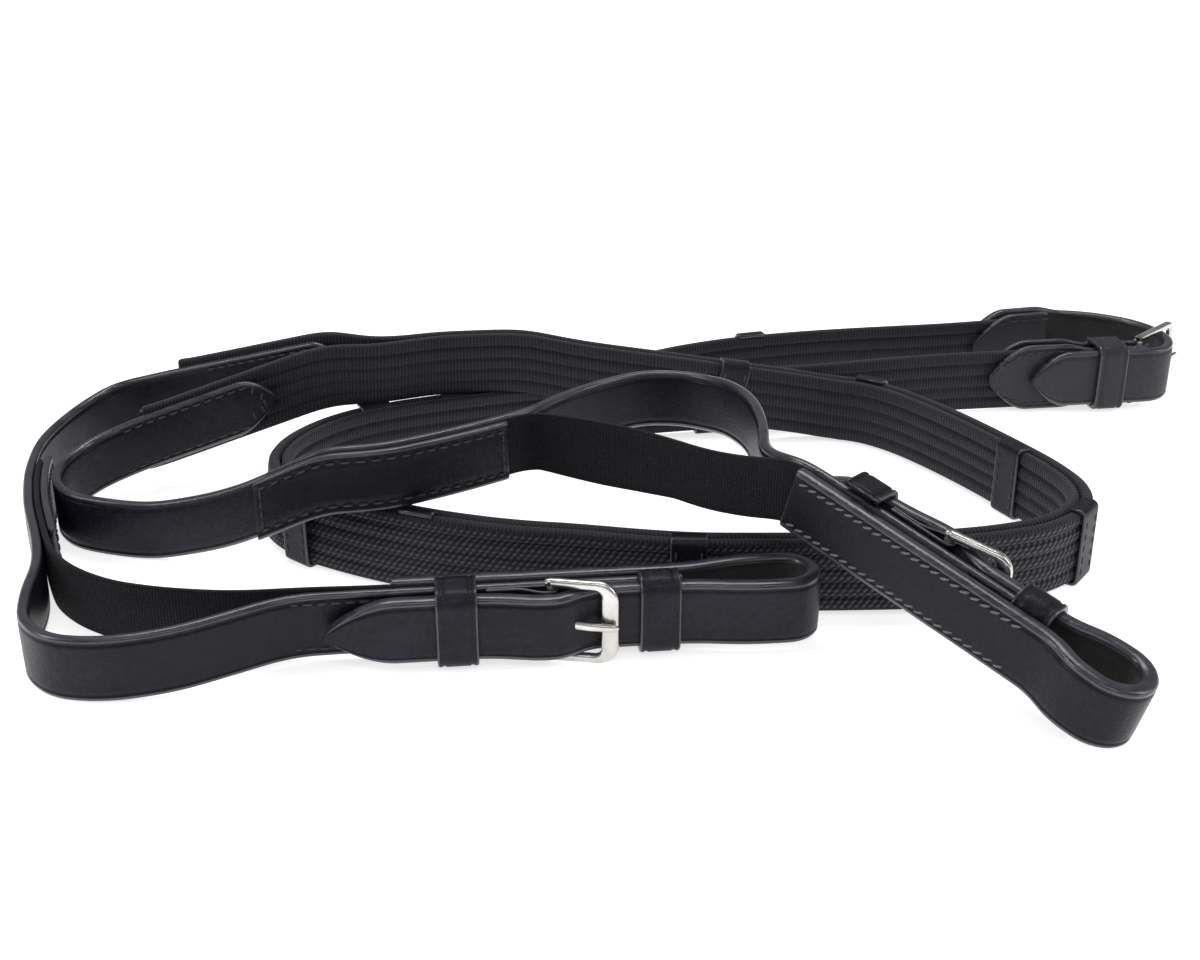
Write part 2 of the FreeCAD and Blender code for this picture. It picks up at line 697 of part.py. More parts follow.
def build_band(label, rein, start, layers, open_back):
    """A rectangular leather band round the layers of a bit end."""
    side = rein["buckle_side"]
    slack, wall = "Sizes.keeper_slack", "Sizes.keeper_thick"
    back, front = layers
    inner_back = "%f - %s" % (back, slack)
    inner_front = "%f + %s" % (front, slack)
    outer_back = "%f" % back if open_back else "%s - %s" % (inner_back, wall)
    tool_back = "%f - 5" % back if open_back else inner_back
    outer_front = "%s + %s" % (inner_front, wall)
    if side < 0:
        outer_back, outer_front = "-(%s)" % outer_front, "-(%s)" % outer_back
        tool_back, inner_front = "-(%s)" % inner_front, "-(%s)" % tool_back
    low_z, high_z = "-Sizes.keeper_play", "Sizes.leather_width + Sizes.keeper_play"
    first, last = "%f" % start, "%f + Sizes.keeper_length" % start
    shell = solid_box(label + "_outer", (first, outer_back, "%s - %s" % (low_z, wall)),
                      (last, outer_front, "%s + %s" % (high_z, wall)))
    hollow = solid_box(label + "_hollow", (first + " - 5", tool_back, low_z),
                       (last + " + 5", inner_front, high_z))
    keep(boolean("Cut", label + "_band", shell, hollow), label, bit_placement(rein))


def build_rein(name, rein):
    bridge = strap_route(rein, rein["bridge"], rein["bridge_join"])
    elastic = strap_route(rein, rein["elastic"], -9)
    web = web_route(rein)
    patch_first = bridge.near(*rein["patch"][0])
    patch_last = bridge.near(*rein["patch"][1])
    build_main_strap(name, rein, bridge)
    build_elastic(name, rein, elastic, patch_first + 2)
    build_patch(name, rein, bridge, patch_first, patch_last)
    build_web(name, rein, web)
    build_backing(name, rein, web)
    build_stops(name, rein, web)
    build_billet(name, rein)
    build_chape(name, rein)
    centre_height = LEATHER / 2
    place = pivot_place(rein, centre_height)
    build_frame(name + "_buckle_frame", place, "frame_inner", "frame_reach", "bar_radius")
    build_prong(name + "_buckle_prong", place, "bar_radius", size("frame_reach"), 2.3,
                rein["buckle_side"])
    build_keeper(name, rein)
    build_runner(name, rein)
    print(name, "strap %.0f, elastic %.0f, patch %.0f, web %.0f mm" % (
        bridge.length, elastic.length - patch_first, patch_last - patch_first, web.length))
    return web


# ---------------------------------------------------------------------------------------------
# The centre, where one rein's billet goes through the other rein's buckle
# ---------------------------------------------------------------------------------------------
def build_centre(outer_web, inner_web):
    middle = 0.1 + size("frame_rail") + size("centre_inner") / 2
    strap_base = middle - size("centre_width") / 2
    oval_base = middle - size("centre_oval") / 2
    layer = size("centre_layer")
    side = size("web_thick") / 2 + LAYER + layer / 2

    # The chape: one strap from each side of the web, folded round the pivot bar.
    start = polar(CENTRE_PIVOT, CENTRE_RUN, -50)
    fold = side
    run = Route([(*start, 0), (*polar(CENTRE_PIVOT, CENTRE_RUN, 0), 0)])
    end = run.length
    near_end, far_end = run.beside(end, -side), run.beside(end, side)
    nose = Vector(*polar(CENTRE_PIVOT, CENTRE_RUN, fold + layer / 2), 0)
    nose_inner = Vector(*polar(CENTRE_PIVOT, CENTRE_RUN, fold - layer / 2), 0)
    body = new_body("centre_chape")
    outer_edges = [Part.LineSegment(run.beside(0, -side - layer / 2), run.beside(end, -side - layer / 2)),
                   Part.Arc(run.beside(end, -side - layer / 2), nose, run.beside(end, side + layer / 2)),
                   Part.LineSegment(run.beside(end, side + layer / 2), run.beside(0, side + layer / 2))]
    inner_edges = [Part.LineSegment(run.beside(0, side - layer / 2), run.beside(end, side - layer / 2)),
                   Part.Arc(run.beside(end, side - layer / 2), nose_inner,
                            run.beside(end, -side + layer / 2)),
                   Part.LineSegment(run.beside(end, -side + layer / 2), run.beside(0, -side + layer / 2))]
    caps = [Part.LineSegment(run.beside(0, sign * (side + layer / 2)),
                             run.beside(0, sign * (side - layer / 2))) for sign in (-1, 1)]
    pad(body, outer_edges + inner_edges + caps, "Sizes.centre_oval", oval_base)
    trim(body, *centre_band(start[0], middle), 0)
    slot = size("prong_width") / 2 + 0.4
    window = [(CENTRE_PIVOT.x - 4, middle - slot), (CENTRE_PIVOT.x + 9, middle - slot),
              (CENTRE_PIVOT.x + 9, middle + slot), (CENTRE_PIVOT.x - 4, middle + slot)]
    pocket(body, "XZ", polygon(window))

    # The buckle.
    place = FreeCAD.Placement(CENTRE_PIVOT + Vector(0, 0, middle),
                              FreeCAD.Rotation(Vector(0, 0, 1), CENTRE_ANGLE))
    build_frame("centre_buckle_frame", place, "centre_inner", "centre_reach", "centre_bar_radius")
    build_prong("centre_buckle_prong", place, "centre_bar_radius", size("centre_reach"), 2.6, -1)

    # The other rein's billet: along its web, round through the buckle, and back over the chape.
    tip_side = -side - layer / 2 - LAYER - size("centre_billet") / 2
    web_end = outer_web.length
    first = outer_web.beside(web_end - 26, side + 0.5)
    second = outer_web.beside(web_end + 7, side + 0.5)
    points = [(first.x, first.y), (second.x, second.y), (148, 109), (158.5, 102), (164.5, 91.5), (164.5, 80.5)]
    shoulder = run.beside(run.length + 6, tip_side)
    tip = run.beside(13, tip_side)
    points += [(shoulder.x, shoulder.y), (tip.x, tip.y)]
    route = Route(points)
    body = new_body("centre_billet")
    pad(body, outline(route, 0, route.length, 0, size("centre_billet")), "Sizes.centre_oval", oval_base)
    trim(body, *centre_band(first.x, middle), -outer_split(), "forward")
    low = [(tip.x - 3, middle - 2), (tip.x, middle - 2.2), (tip.x + 4, middle - 6.2),
           (tip.x + 10, strap_base), (250, strap_base)]
    high = [(x, 2 * middle - z) for x, z in low]
    trim(body, low, high, -outer_split(), "reversed")
    hole = [(78.5, middle - 1.9), (90.5, middle - 1.9), (90.5, middle + 1.9), (78.5, middle + 1.9)]
    pocket(body, "YZ", polygon(hole), 158, "reversed")

    body = new_body("centre_billet_backing")
    pad(body, outline(outer_web, web_end - 26, web_end + 0, -side, layer), "Sizes.centre_oval", oval_base)
    trim(body, *centre_band(first.x, middle), 0)

    # The keeper over the chape and the billet's tip.
    front = -tip_side + size("centre_billet") / 2
    back = side + layer / 2
    wall, slack = "Sizes.keeper_thick", "Sizes.keeper_slack"
    bottom = "%f - Sizes.centre_width / 2 - %s" % (middle, slack)
    top = "%f + Sizes.centre_width / 2 + %s" % (middle, slack)
    shell = solid_box("centre_keeper_outer",
                      ("-16", "-(%f + %s + %s)" % (front, slack, wall), "%s - %s" % (bottom, wall)),
                      ("-16 + Sizes.keeper_length", "%f + %s + %s" % (back, slack, wall),
                       "%s + %s" % (top, wall)))
    hollow = solid_box("centre_keeper_hollow", ("-30", "-(%f + %s)" % (front, slack), bottom),
                       ("0", "%f + %s" % (back, slack), top))
    keep(boolean("Cut", "centre_keeper_band", shell, hollow), "centre_keeper",
         FreeCAD.Placement(CENTRE_PIVOT, FreeCAD.Rotation(Vector(0, 0, 1), CENTRE_RUN)))


def outer_split():
    """The plane between the two strands of the centre billet."""
    return -89


def centre_band(start_x, middle):
    """Return the side-view band of a centre piece: pointed, oval over the web, then plain."""
    oval = size("centre_oval") / 2
    plain = size("centre_width") / 2
    low = [(start_x - 2, middle - 1.5), (start_x, middle - 2), (start_x + 3, middle - oval * 0.6),
           (start_x + 8, middle - oval * 0.93), (start_x + 13, middle - oval),
           (start_x + 25, middle - oval), (start_x + 33, middle - plain), (250, middle - plain)]
    return low, [(x, 2 * middle - z) for x, z in low]


# ---------------------------------------------------------------------------------------------
# Build, check and write
# ---------------------------------------------------------------------------------------------
webs = {name: build_rein(name, rein) for name, rein in REINS.items()}
build_centre(webs["outer"], webs["inner"])
doc.recompute()

for item in doc.Objects:
    if "Invalid" in item.State or "Error" in item.State:
        raise RuntimeError("%s is %s" % (item.Name, item.State))

# The origin is on the table under the middle of the whole.
to_origin = FreeCAD.Placement(Vector(*ORIGIN) * -1, FreeCAD.Rotation())
for item in sub_parts:
    item.Placement = to_origin.multiply(item.Placement)
doc.recompute()

os.makedirs("parts", exist_ok=True)
for item in sub_parts:
    shape = item.Shape
    if shape.isNull() or not shape.isValid() or len(shape.Solids) != 1:
        raise RuntimeError("%s has no single valid solid (%d)" % (item.Label, len(shape.Solids)))
    shape.exportStep("parts/%s.step" % item.Label)
print(len(sub_parts), "pieces")
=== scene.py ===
"""Looks for a pair of elasticated web bridle reins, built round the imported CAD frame.

Lengths are in millimetres in the layout that the straps were drawn in, and to_world() turns
them into metres in the frame's axes. A strap stands on edge along a path, its line in plan.
A place on a path is its distance from the start, and a side is a distance to the left of it.
"""
import math

import bpy
from mathutils import Matrix, Vector


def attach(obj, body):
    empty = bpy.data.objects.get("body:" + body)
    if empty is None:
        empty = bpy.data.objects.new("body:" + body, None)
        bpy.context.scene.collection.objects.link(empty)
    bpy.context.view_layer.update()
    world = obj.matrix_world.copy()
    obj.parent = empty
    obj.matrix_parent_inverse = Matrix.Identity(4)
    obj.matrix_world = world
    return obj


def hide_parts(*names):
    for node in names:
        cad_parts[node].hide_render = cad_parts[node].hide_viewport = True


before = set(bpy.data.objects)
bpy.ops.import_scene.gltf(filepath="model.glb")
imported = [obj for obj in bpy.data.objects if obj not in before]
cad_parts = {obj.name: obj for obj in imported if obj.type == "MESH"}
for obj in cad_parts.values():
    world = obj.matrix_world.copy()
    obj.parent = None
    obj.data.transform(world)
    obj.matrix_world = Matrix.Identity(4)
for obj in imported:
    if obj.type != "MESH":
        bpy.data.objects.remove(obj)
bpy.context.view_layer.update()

# ---- Sizes and routes, the same as the solids' ----
ORIGIN = Vector((-3, -8.9, 0))
LEATHER = 16.0              # widths
WEB_WIDTH = 19.0
STRAP = 2.6                 # thicknesses
BILLET = 3.8
ELASTIC = 1.6
PATCH = 2.2
BACKING = 1.8
CHAPE = 0.8
WEB = 3.0
GAP = 0.1                   # between layers
WEB_BASE = 1.0              # the webs ride on their hand stops
STOP_THICK = 1.0
STOP_HALF = 4.5
STOP_SPACING = 104
STOP_COUNT = 6
BAR = 1.25                  # radius of the bit buckles' pivots
TILT = 15                   # of a bit buckle against its strap, in degrees
RAIL = 2.2
SLOT_HALF = 1.8             # the gap in a chape for the prong
PIVOT = 36.2                # places along a bit end
KEEPER = (10.0, 19.5)
RUNNER = (56.5, 66.0)
ELASTIC_END = 50
INNER_END = 67
LOOP_MIDDLE = -1.2          # side of a bit loop's middle
BAND_WALL = 1.4
CROSSING = 21.4             # height of the web where it crosses the coil
SETTLE = 1.3                # the raised web is drawn this much lower than the solid
LEAN = 3.4                  # and its top this much further out
UPPER_END = 50              # X at which it is back on the table
SAG = 1.6                   # the inner elastic is drawn this much lower
SAG_RUN = 36                # over this run in X
ROW_INSET = 2.3             # from a strap's edge to its stitches

HALF = STRAP / 2
ELASTIC_SIDE = HALF + GAP + ELASTIC / 2
PATCH_SIDE = ELASTIC_SIDE + ELASTIC / 2 + GAP + PATCH / 2
ROOT_SIDE = ELASTIC_SIDE + ELASTIC / 2 + GAP + BILLET / 2
BILLET_SIDE = HALF + GAP + BILLET / 2
SPLICE_SIDE = HALF + GAP + WEB / 2
PAIR_SIDE = 1.7

PAIR_POINTS = [
    (-68, 35.5), (-48, 38), (-25, 37.5), (0, 39.5), (25, 44), (44, 47.5), (58, 46), (69, 36.5),
    (77.5, 24.5), (86, 10.5), (93.5, -4), (100, -17.5), (103.8, -31), (101.2, -44), (89.5, -54.3),
    (73, -59.5), (56, -61.8), (36, -62.5), (8, -62.7), (-18, -61.8), (-42, -58.8), (-62, -53),
    (-80, -45), (-95, -36.5), (-105, -26), (-110, -13.5), (-108.5, 0), (-102, 12.5), (-92, 22.5),
    (-78, 30), (-62, 36)]
# Heights against X of the raised web's lower edge. The lines in REINS are the leather's.
OVER_COIL = [(-97, CROSSING), (-86, CROSSING - SETTLE), (-42, CROSSING - SETTLE),
             (UPPER_END, WEB_BASE), (200, WEB_BASE)]

CENTRE_PIVOT = Vector((153, 77.4, 0))
CENTRE_ANGLE = 46
CENTRE_RUN = 7.5
CENTRE_MIDDLE = 11.7
CENTRE_LAYER = 2.0
CENTRE_BILLET = 3.0
CENTRE_HALF = 9.0
OVAL_HALF = 10.7
OVAL_TIP, OVAL_END, OVAL_NECK = 13, 24, 10
CENTRE_SIDE = WEB / 2 + GAP + CENTRE_LAYER / 2


def polar(origin, angle, distance):
    return (origin[0] + distance * math.cos(math.radians(angle)),
            origin[1] + distance * math.sin(math.radians(angle)))


REINS = {
    "outer": {
        "buckle_side": -1, "pair_side": 1,
        "splice": [(-94, 29.4), (-148, 41.5)],
        "web_in": [(-80, 33)],
        "web_out": [(-46, 46), (-25, 59), (-2, 73), (20, 84), (45, 91), (70, 95.5), (94, 99),
                    (112, 103), (130, 107.5)],
        "turn": [(-166.2, 44), (-173.2, 32.5), (-177, 18), (-177.5, 3), (-174.5, -13), (-168.5, -32)],
        "bridge": [(-159, -54), (-154.5, -67), (-152.5, -82), (-149, -95), (-141, -103),
                   (-128, -105), (-114, -102), (-103, -96)],
        "elastic": [(-159, -54), (-154, -64), (-146, -72.5), (-135, -79.5), (-121, -84.5),
                    (-104, -88)],
        "patch": ((-177, -4), (-160.5, -50.5)),
        "bit": (-67.6, -86.7), "bit_angle": 6.3, "bit_height": 2.6, "bit_rise": 0,
        "loop_end": 98, "loop_shoulder": 82, "loop_radius": 6.75,
        "bridge_join": -24, "tip": -15,
        "far_low": [(-260, 0), (-180, 0), (-97, 22.9), (-60, 22.9)],
        "near_low": [(-260, 0), (-135, 0), (-85, 2.6), (200, 2.6)],
        "split": 3, "first_stop": (63, 46),
    },
    "inner": {
        "buckle_side": 1, "pair_side": -1,
        "splice": [(-112, 16), (-150, 9.5)],
        "web_in": [(-96, 21.7), (-84, 26.5)],
        "web_out": [(-44, 40.5), (-20, 46), (5, 51.5), (30, 56), (52, 60.2), (72, 65.4),
                    polar(CENTRE_PIVOT, CENTRE_RUN, -64), polar(CENTRE_PIVOT, CENTRE_RUN, -22)],
        "turn": [(-161, 4.5), (-167, -6), (-166, -18.5), (-158.5, -28.5), (-146, -33), (-130, -36),
                 (-113, -42.5), (-94, -48), (-76, -47.5), (-59, -37.5)],
        "bridge": [(-38, -22), (-31, -12), (-20, -1.5), (-8, 6), (4, 5.5), (14, -3), (19.5, -17),
                   (21, -36)],
        "elastic": [(-38, -22), (-25, -26.5), (-12, -33), (-1, -41), (10, -50.5)],
        "patch": ((-104, -45.5), (-46, -28.5)),
        "bit": (26.2, -64.5), "bit_angle": -42.4, "bit_height": 26.2, "bit_rise": -15.6,
        "loop_end": 89, "loop_shoulder": 76.5, "loop_radius": 7.4,
        "bridge_join": -10, "tip": -1,
        "far_low": [(-260, 0), (-169, 0), (-97, 22.9), (-80, 22.9), (-70, 21.4), (8, 21.4),
                    (60, 24.4)],
        "near_low": [(-260, 0), (-135, 0), (-122, 4), (-110, 9), (-88, 21.4), (8, 21.4), (19, 23.4)],
        "split": -14, "first_stop": (16, 42),
    },
}


def to_world(point):
    return (Vector(point) - ORIGIN) / 1000


def left_of(heading):
    return Vector((-heading.y, heading.x))


def turn_between(first, second):
    return math.atan2(first.x * second.y - first.y * second.x, first.dot(second))


def corners(points, share=0.45):
    """Give each inner point the largest arc that its two runs allow."""
    result = [(*points[0][:2], 0)]
    for before, here, after in zip(points, points[1:], points[2:]):
        first = Vector(here[:2]) - Vector(before[:2])
        second = Vector(after[:2]) - Vector(here[:2])
        turn = abs(first.angle(second))
        reach = share * min(first.length, second.length)
        result.append((here[0], here[1], reach / math.tan(turn / 2) if turn > 1e-4 else 0))
    return result + [(*points[-1][:2], 0)]


def shifted(points, offset):
    """Move corners sideways so that their arcs stay concentric."""
    result = []
    for i, (x, y, radius) in enumerate(points):
        here = Vector((x, y))
        before = Vector(points[max(i - 1, 0)][:2])
        after = Vector(points[min(i + 1, len(points) - 1)][:2])
        first = (here - before).normalized() if i else (after - here).normalized()
        second = (after - here).normalized() if i < len(points) - 1 else first
        turn = turn_between(first, second)
        corner = here + left_of((first + second).normalized()) * (offset / math.cos(turn / 2))
        result.append((corner.x, corner.y, radius - math.copysign(offset, turn) if radius else 0))
    return result


def bell(reach):
    return [math.exp(-2 * (k / reach) ** 2) for k in range(-reach, reach + 1)]


def smooth(t):
    """Rise smoothly from 0 to 1 while t does."""
    t = min(1, max(0, t))
    return t * t * (3 - 2 * t)


class Path:
    """A plan curve of lines and tangent arcs, sampled finely and eased, addressed by distance."""
    STEP = 0.5

    def __init__(self, points, ease=4.0):
        if len(points[0]) == 2:
            points = corners(points)
        dense = []
        here = Vector(points[0][:2])
        for i in range(1, len(points)):
            corner = Vector(points[i][:2])
            heading = (corner - here).normalized()
            if i == len(points) - 1 or points[i][2] == 0:
                self._line(dense, here, corner)
                here = corner
                continue
            onward = (Vector(points[i + 1][:2]) - corner).normalized()
            turn = turn_between(heading, onward)
            radius = points[i][2]
            reach = radius * math.tan(abs(turn) / 2)
            entry = corner - heading * reach
            self._line(dense, here, entry)
            centre = entry + left_of(heading) * math.copysign(radius, turn)
            steps = max(2, int(radius * abs(turn) / self.STEP))
            for k in range(1, steps):
                angle = turn * k / steps
                turned = heading * math.cos(angle) + left_of(heading) * math.sin(angle)
                dense.append(centre - left_of(turned) * math.copysign(radius, turn))
            here = corner + onward * reach
        dense.append(Vector(points[-1][:2]))
        self._resample(dense)
        self._ease(int(ease / self.step))

    def _line(self, dense, a, b):
        steps = max(1, int((b - a).length / self.STEP))
        dense.extend(a.lerp(b, k / steps) for k in range(steps))

    def _resample(self, dense):
        marks = [0.0]
        for a, b in zip(dense, dense[1:]):
            marks.append(marks[-1] + (b - a).length)
        count = int(marks[-1] / self.STEP)
        self.length = marks[-1]
        self.step = marks[-1] / count
        self.spots = []
        j = 0
        for i in range(count + 1):
            want = min(i * self.step, marks[-1])
            while j < len(marks) - 2 and marks[j + 1] < want:
                j += 1
            span = marks[j + 1] - marks[j]
            share = (want - marks[j]) / span if span > 1e-9 else 0
            self.spots.append(dense[j].lerp(dense[j + 1], share))

    def _ease(self, reach):
        """Round the changes of curvature as a springy strap would."""
        if reach < 1:
            return
        weights = bell(reach)
        count = len(self.spots)
        eased = []
        for i in range(count):
            room = min(i, count - 1 - i, reach)
            used = weights[reach - room:reach + room + 1]
            total = Vector((0, 0))
            for k, weight in zip(range(-room, room + 1), used):
                total += self.spots[i + k] * weight
            eased.append(total / sum(used))
        self.spots = eased

    def at(self, distance):
        """Return the point and the heading at a distance."""
        x = distance / self.step
        i = min(max(int(x), 0), len(self.spots) - 2)
        a, b = self.spots[i], self.spots[i + 1]
        before = self.spots[max(i - 1, 0)]
        after = self.spots[min(i + 2, len(self.spots) - 1)]
        t = x - i
        if 0 <= t <= 1:
            mixed = (b - before).normalized() * (1 - t) + (after - a).normalized() * t
            return a + (b - a) * t, mixed.normalized()
        return a + (b - a) * t, (b - a).normalized()

    def beside(self, distance, offset):
        point, heading = self.at(distance)
        return point + left_of(heading) * offset

    def near(self, x, y):
        """Return the distance of the spot nearest to a point."""
        place = Vector((x, y))
        best = min(range(len(self.spots)), key=lambda i: (self.spots[i] - place).length)
        return best * self.step


def height_at(line, x):
    for (x0, z0), (x1, z1) in zip(line, line[1:]):
        if x <= x1:
            return z0 + (z1 - z0) * (x - x0) / (x1 - x0)
    return line[-1][1]


def smooth_profile(path, read, reach=9):
    """Return a height function of distance: the side-view line, eased along the strap."""
    count = int(path.length) + 2
    raw = [read(path.at(min(i, path.length))[0]) for i in range(count)]
    weights = bell(reach)
    eased = []
    for i in range(count):
        total = sum(weight * raw[min(max(i + k, 0), count - 1)]
                    for k, weight in zip(range(-reach, reach + 1), weights))
        eased.append(total / sum(weights))

    def read_at(distance):
        x = min(max(distance, 0), count - 1.001)
        i = int(x)
        return eased[i] + (eased[i + 1] - eased[i]) * (x - i)
    return read_at


def level(z):
    return lambda s: z


def above(low, tall):
    return lambda s: low(s) + tall


def turned_about_z(point, degrees):
    return Matrix.Translation(point) @ Matrix.Rotation(math.radians(degrees), 4, "Z")


def strap_path(rein, middle, join):
    flat = math.cos(math.radians(rein["bit_rise"]))
    ends = [polar(rein["bit"], rein["bit_angle"], d * flat) for d in (join, INNER_END)]
    return Path(rein["splice"] + rein["turn"] + middle + ends)


def web_path(rein):
    splice = shifted([(*p, 0) for p in rein["splice"]], -SPLICE_SIDE)
    lead_in = [p[:2] for p in reversed(splice)] + rein["web_in"]
    pair = shifted(corners(PAIR_POINTS), rein["pair_side"] * PAIR_SIDE)
    rounded = corners(lead_in + [p[:2] for p in pair] + rein["web_out"])
    for i in range(1, len(pair) - 1):
        rounded[len(lead_in) + i] = pair[i]
    return Path(rounded)


# ---- Materials ----
class Nodes:
    """A small helper for writing node trees."""

    def __init__(self, name):
        self.material = bpy.data.materials.new(name)
        self.material.use_nodes = True
        self.tree = self.material.node_tree
        self.tree.nodes.clear()
        self.shader = self.new("ShaderNodeBsdfPrincipled")
        output = self.new("ShaderNodeOutputMaterial")
        self.link(self.shader.outputs[0], output.inputs[0])

    def new(self, kind, **settings):
        node = self.tree.nodes.new(kind)
        for key, value in settings.items():
            setattr(node, key, value)
        return node

    def link(self, a, b):
        self.tree.links.new(a, b)

    def put(self, value, socket):
        if hasattr(value, "is_output"):
            self.link(value, socket)
        else:
            socket.default_value = value

    def math(self, operation, a, b=0.0, clamp=False):
        node = self.new("ShaderNodeMath", operation=operation, use_clamp=clamp)
        self.put(a, node.inputs[0])
        self.put(b, node.inputs[1])
        return node.outputs[0]

    def add(self, a, b, clamp=False):
        return self.math("ADD", a, b, clamp)

    def times(self, a, b):
        return self.math("MULTIPLY", a, b)

    def mix(self, a, share_a, b, share_b, clamp=False):
        return self.add(self.times(a, share_a), self.times(b, share_b), clamp)

    def wave(self, value, pitch):
        return self.math("SINE", self.times(value, 2 * math.pi / pitch))

    def along_around(self):
        """Return the distances along and around a strap, from its UVs."""
        node = self.new("ShaderNodeSeparateXYZ")
        self.link(self.new("ShaderNodeTexCoord").outputs["UV"], node.inputs[0])
        return node.outputs[0], node.outputs[1]

    def made(self, kind, **inputs):
        """Make a node and set its inputs, named with _ for a space."""
        node = self.new(kind)
        for name, value in inputs.items():
            node.inputs[name.replace("_", " ")].default_value = value
        return node

    def noise(self, scale, detail=3.0, rough=0.55, stretch=(1, 1, 1)):
        node = self.made("ShaderNodeTexNoise", Scale=scale, Detail=detail, Roughness=rough)
        mapping = self.made("ShaderNodeMapping", Scale=stretch)
        self.link(self.new("ShaderNodeTexCoord").outputs["Object"], mapping.inputs[0])
        self.link(mapping.outputs[0], node.inputs["Vector"])
        return node.outputs[0]

    def cells(self, scale):
        node = self.made("ShaderNodeTexVoronoi", Scale=scale)
        self.link(self.new("ShaderNodeTexCoord").outputs["Object"], node.inputs["Vector"])
        return node.outputs["Distance"]

    def ramp(self, value, stops):
        node = self.new("ShaderNodeValToRGB")
        elements = node.color_ramp.elements
        while len(elements) > 1:
            elements.remove(elements[-1])
        for i, (place, colour) in enumerate(stops):
            element = elements.new(place) if i else elements[0]
            element.position = place
            element.color = (*colour, 1)
        self.link(value, node.inputs[0])
        return node.outputs[0]

    def spread(self, value, low, high):
        """Widen the usual range of a noise to low..high."""
        node = self.made("ShaderNodeMapRange", From_Min=0.3, From_Max=0.7, To_Min=low, To_Max=high)
        self.link(value, node.inputs["Value"])
        return node.outputs[0]

    def bump(self, height, distance, strength, below=None):
        node = self.made("ShaderNodeBump", Strength=strength, Distance=distance)
        self.link(height, node.inputs["Height"])
        if below is not None:
            self.link(below, node.inputs["Normal"])
        return node.outputs[0]

    def finish(self, colour, roughness, normal=None, **fixed):
        self.put(colour, self.shader.inputs["Base Color"])
        self.put(roughness, self.shader.inputs["Roughness"])
        if normal is not None:
            self.link(normal, self.shader.inputs["Normal"])
        for name, value in fixed.items():
            self.shader.inputs[name.replace("_", " ")].default_value = value
        return self.material


def leather(name, tint=1.0, rough=0.36, grain=1.0, painted_light=0.0):
    """Waxed black bridle leather: pores, faint folds, a cloudy sheen and a blue-black dye.

    painted_light is a pale wash added to the colour: painted light, for a piece that stands brighter and
    hazier under the lamps.
    """
    n = Nodes(name)
    pores = n.cells(1700)
    fine = n.noise(2400, 2)
    fleck = n.noise(620, 4, 0.7)
    folds = n.noise(95, 4, 0.6, (1, 1, 0.5))
    cloud = n.noise(38)
    mottle = n.mix(cloud, 0.5, fleck, 0.5)
    dye = [(0.36, (0.0024, 0.0023, 0.0060)), (0.50, (0.0056, 0.0054, 0.0112)),
           (0.64, (0.0135, 0.0131, 0.0225))]
    colour = n.ramp(mottle, [(place, tuple(c * tint + painted_light for c in stop)) for place, stop in dye])
    roughness = n.add(n.spread(cloud, rough - 0.05, rough + 0.07), n.times(folds, 0.08))
    height = n.mix(pores, 0.6, fine, 0.5)
    normal = n.bump(folds, 0.0007, 0.4, n.bump(height, 0.00014 * grain, 0.8))
    return n.finish(colour, roughness, normal, Specular_IOR_Level=0.17, Coat_Weight=0.08,
                    Coat_Roughness=0.24)


def flesh(name):
    """The unfinished back of the leather: short brushed fibres."""
    n = Nodes(name)
    nap = n.noise(900, 5, 0.7)
    colour = n.ramp(n.noise(120), [(0.3, (0.008, 0.008, 0.009)), (0.7, (0.020, 0.020, 0.022))])
    return n.finish(colour, n.spread(nap, 0.72, 0.95), n.bump(nap, 0.0005, 0.8),
                    Specular_IOR_Level=0.3, Sheen_Weight=0.15, Sheen_Roughness=0.5)


def edge_paint(name):
    """Dyed and burnished edges with fine layers running along them."""
    n = Nodes(name)
    layers = n.noise(500, 3, stretch=(0.25, 0.25, 3))
    colour = n.ramp(layers, [(0.35, (0.013, 0.0128, 0.021)), (0.7, (0.034, 0.0335, 0.050))])
    return n.finish(colour, n.spread(layers, 0.24, 0.42), n.bump(layers, 0.0003, 0.5),
                    Specular_IOR_Level=0.6, Coat_Weight=0.3, Coat_Roughness=0.16)


def web_cloth(name, yarn_of, yarn_shading, glint_colour, depth):
    """Cotton web. yarn_of gives the height of its yarns, and yarn_shading how strongly its colour paints
    shade in the grooves and glints on the yarn tops.
    """
    n = Nodes(name)
    yarn = yarn_of(n, *n.along_around())
    fuzz = n.noise(1500, 4, 0.7)
    height = n.mix(yarn, 0.5, fuzz, 0.7)
    # Painted shade and glints: the grooves darker and the yarn tops lighter, mixed with the fibres' own
    # random tone.
    shade = n.mix(yarn, yarn_shading, fuzz, 0.9, clamp=True)
    colour = n.ramp(shade, [(0.15, (0.0016, 0.0016, 0.0045)), (0.5, (0.0090, 0.0088, 0.0150)),
                            (0.85, glint_colour)])
    return n.finish(colour, n.spread(fuzz, 0.62, 0.85), n.bump(height, depth, 0.9),
                    Specular_IOR_Level=0.35, Sheen_Weight=0.12, Sheen_Roughness=0.4)


def twill_yarn(n, along, around):
    """Coarse steep twill, stepping along the strap row by row."""
    slanted = n.wave(n.add(along, n.times(around, 0.72)), 1.75)
    return n.mix(slanted, 0.7, n.wave(around, 1.27), 0.42)


def cord_yarn(n, along, around):
    """Fine cords across the strap, each twisted."""
    twist = n.wave(n.add(n.times(along, 1.2), around), 0.8)
    return n.mix(n.wave(along, 1.02), 0.8, twist, 0.22)


